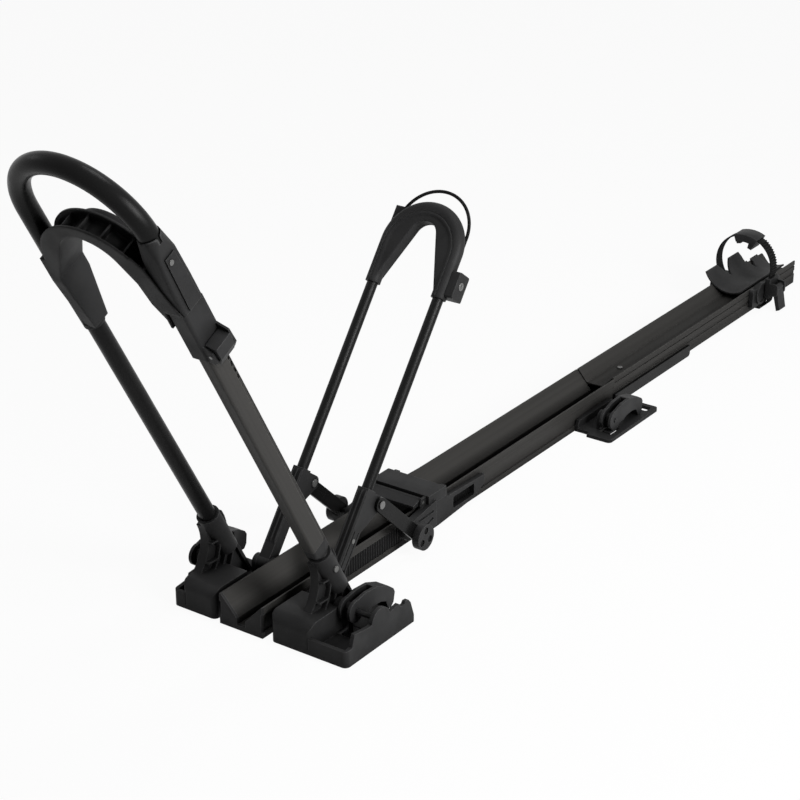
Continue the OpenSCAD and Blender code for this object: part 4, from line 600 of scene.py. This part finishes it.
class CARRIER_OT_springs(bpy.types.Operator):
    """Wind the two coil springs round their pins"""
    bl_idname = "carrier.springs"
    bl_label = "Springs"

    def execute(self, context):
        wire = context.scene.carrier_wire.wire / 2
        release_foot = leaning(FRONT_FOOT, FRONT_LEAN, -RELEASE_TURNS / 2 * COIL_PITCH, RELEASE_Y, RELEASE_UP)
        leg_up = np.array([math.sin(FRONT_LEAN), 0.0, math.cos(FRONT_LEAN)])
        for name, node, body, foot, axis, first, turns in (
                ("release_coil", "release_spring", "front_hoop", release_foot, stand_off(FRONT_LEAN), leg_up,
                 RELEASE_TURNS),
                ("lip_coil", "lip_spring", "slider", np.array(LIP_FOOT), Y_AXIS, Z_AXIS, LIP_TURNS)):
            # A round wire along a helix: foot + radius * turning direction + pitch * turns along the axis
            turn = np.linspace(0.0, 2 * math.pi * turns, COIL_STEPS * turns + 1)[:, None]
            radial = np.cos(turn) * first + np.sin(turn) * np.cross(axis, first)
            path = foot + COIL_RADIUS * radial + axis * COIL_PITCH * turn / (2 * math.pi)
            rings = sweep(path, radial, axis, circle(wire, 10))
            add_piece(name, rings, body, "Dull zinc", node)
        return {"FINISHED"}


# Stage

def light_path_white(tree):
    """The strength of white that camera, mirror and glass rays see: 1 for them, 0 for the rest."""
    rays = tree.nodes.new("ShaderNodeLightPath")
    seen = math_node(tree, "MAXIMUM", rays.outputs["Is Camera Ray"], rays.outputs["Is Glossy Ray"])
    return math_node(tree, "MAXIMUM", seen, rays.outputs["Is Transmission Ray"])


def light_world(scene, sky):
    """An even world of strength sky that looks white."""
    world = bpy.data.worlds.new("Even light")
    world.use_nodes = True
    scene.world = world
    tree = world.node_tree
    back = tree.nodes["Background"]
    back.inputs["Color"].default_value = (1.0, 1.0, 1.0, 1.0)
    strength = ramp(tree, light_path_white(tree), 0.0, 1.0, sky, 1.0)
    tree.links.new(strength, back.inputs["Strength"])


def lay_floor(scene, colour):
    """A wide matt floor that looks nearly white and keeps the object's shadow."""
    mesh = bpy.data.meshes.new("floor")
    signs = ((-1, -1), (1, -1), (1, 1), (-1, 1))
    mesh.from_pydata([(x * FLOOR_HALF, y * FLOOR_HALF, FLOOR_Z) for x, y in signs], [], [(0, 1, 2, 3)])
    floor = bpy.data.objects.new("floor", mesh)
    scene.collection.objects.link(floor)
    mat = bpy.data.materials.new("Pale floor")
    mat.use_nodes = True
    tree = mat.node_tree
    tree.nodes.remove(tree.nodes["Principled BSDF"])
    matt = tree.nodes.new("ShaderNodeBsdfDiffuse")
    matt.inputs["Color"].default_value = colour
    glow = tree.nodes.new("ShaderNodeEmission")
    mixed = tree.nodes.new("ShaderNodeMixShader")
    white = math_node(tree, "MULTIPLY", light_path_white(tree), FLOOR_WHITE)
    for socket, source in zip(mixed.inputs, (white, matt.outputs[0], glow.outputs[0])):
        tree.links.new(source, socket)
    tree.links.new(mixed.outputs[0], tree.nodes["Material Output"].inputs["Surface"])
    mesh.materials.append(mat)


def hang_lamp(scene, name, away, power, width):
    """A square lamp at the aim plus away, turned to the aim."""
    place = LAMP_AIM + Vector(away)
    lamp = bpy.data.lights.new(name, "AREA")
    lamp.energy = power
    lamp.shape = "SQUARE"
    lamp.size = width
    holder = bpy.data.objects.new(name, lamp)
    turned = (LAMP_AIM - place).to_track_quat("-Z", "Y").to_matrix().to_4x4()
    holder.matrix_world = Matrix.Translation(place) @ turned
    scene.collection.objects.link(holder)


def set_camera(scene, focal_length):
    """The camera at the photograph's viewing angle."""
    lens = bpy.data.cameras.new("photo")
    lens.lens = focal_length
    lens.sensor_width = SENSOR_WIDTH
    lens.clip_end = CLIP_END
    camera = bpy.data.objects.new("photo", lens)
    camera.matrix_world = Matrix.Translation(CAMERA_PLACE) @ Matrix(CAMERA_AXES).transposed().to_4x4()
    scene.collection.objects.link(camera)
    scene.camera = camera


class CARRIER_OT_stage(bpy.types.Operator):
    """Set the pale floor, the soft lamps and the camera"""
    bl_idname = "carrier.stage"
    bl_label = "Stage"

    def execute(self, context):
        scene = context.scene
        look = scene.carrier_stage
        scene.view_settings.view_transform = "Standard"
        light_world(scene, look.sky)
        lay_floor(scene, look.floor)
        for name, away, width in LAMPS:
            hang_lamp(scene, name, away, getattr(look, name), width)
        set_camera(scene, look.lens)
        return {"FINISHED"}


# Panel and add-on

SETTINGS = {"carrier_finish": CarrierFinish, "carrier_strap": CarrierStrap, "carrier_wire": CarrierWire,
            "carrier_ribs": CarrierRibs, "carrier_stage": CarrierStage}
STEPS = (CARRIER_OT_stage, CARRIER_OT_finishes, CARRIER_OT_lock_cable, CARRIER_OT_tyre_strap,
         CARRIER_OT_strap_pad, CARRIER_OT_bracket_ribs, CARRIER_OT_springs)


class CARRIER_PT_panel(bpy.types.Panel):
    """The carrier's steps, and the values that they use"""
    bl_label = "Roof bike carrier"
    bl_idname = "CARRIER_PT_panel"
    bl_space_type = "VIEW_3D"
    bl_region_type = "UI"
    bl_category = "Carrier"

    def draw(self, context):
        for group, cls in SETTINGS.items():
            box = self.layout.box()
            for name in cls.__annotations__:
                box.prop(getattr(context.scene, group), name)
        for step in STEPS:
            self.layout.operator(step.bl_idname)


def register():
    """Registers the classes and gives the scene its settings."""
    for cls in (*SETTINGS.values(), *STEPS, CARRIER_PT_panel):
        bpy.utils.register_class(cls)
    for name, cls in SETTINGS.items():
        setattr(bpy.types.Scene, name, bpy.props.PointerProperty(type=cls))


def unregister():
    """Takes the settings and the classes away again, in reverse order."""
    for name in SETTINGS:
        delattr(bpy.types.Scene, name)
    for cls in (CARRIER_PT_panel, *reversed(STEPS), *reversed(tuple(SETTINGS.values()))):
        bpy.utils.unregister_class(cls)


def main():
    """Registers the add-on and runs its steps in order."""
    register()
    bpy.ops.carrier.stage()
    bpy.ops.carrier.finishes()
    bpy.ops.carrier.lock_cable()
    bpy.ops.carrier.tyre_strap()
    bpy.ops.carrier.strap_pad()
    bpy.ops.carrier.bracket_ribs()
    bpy.ops.carrier.springs()


if __name__ == "__main__":
    main()
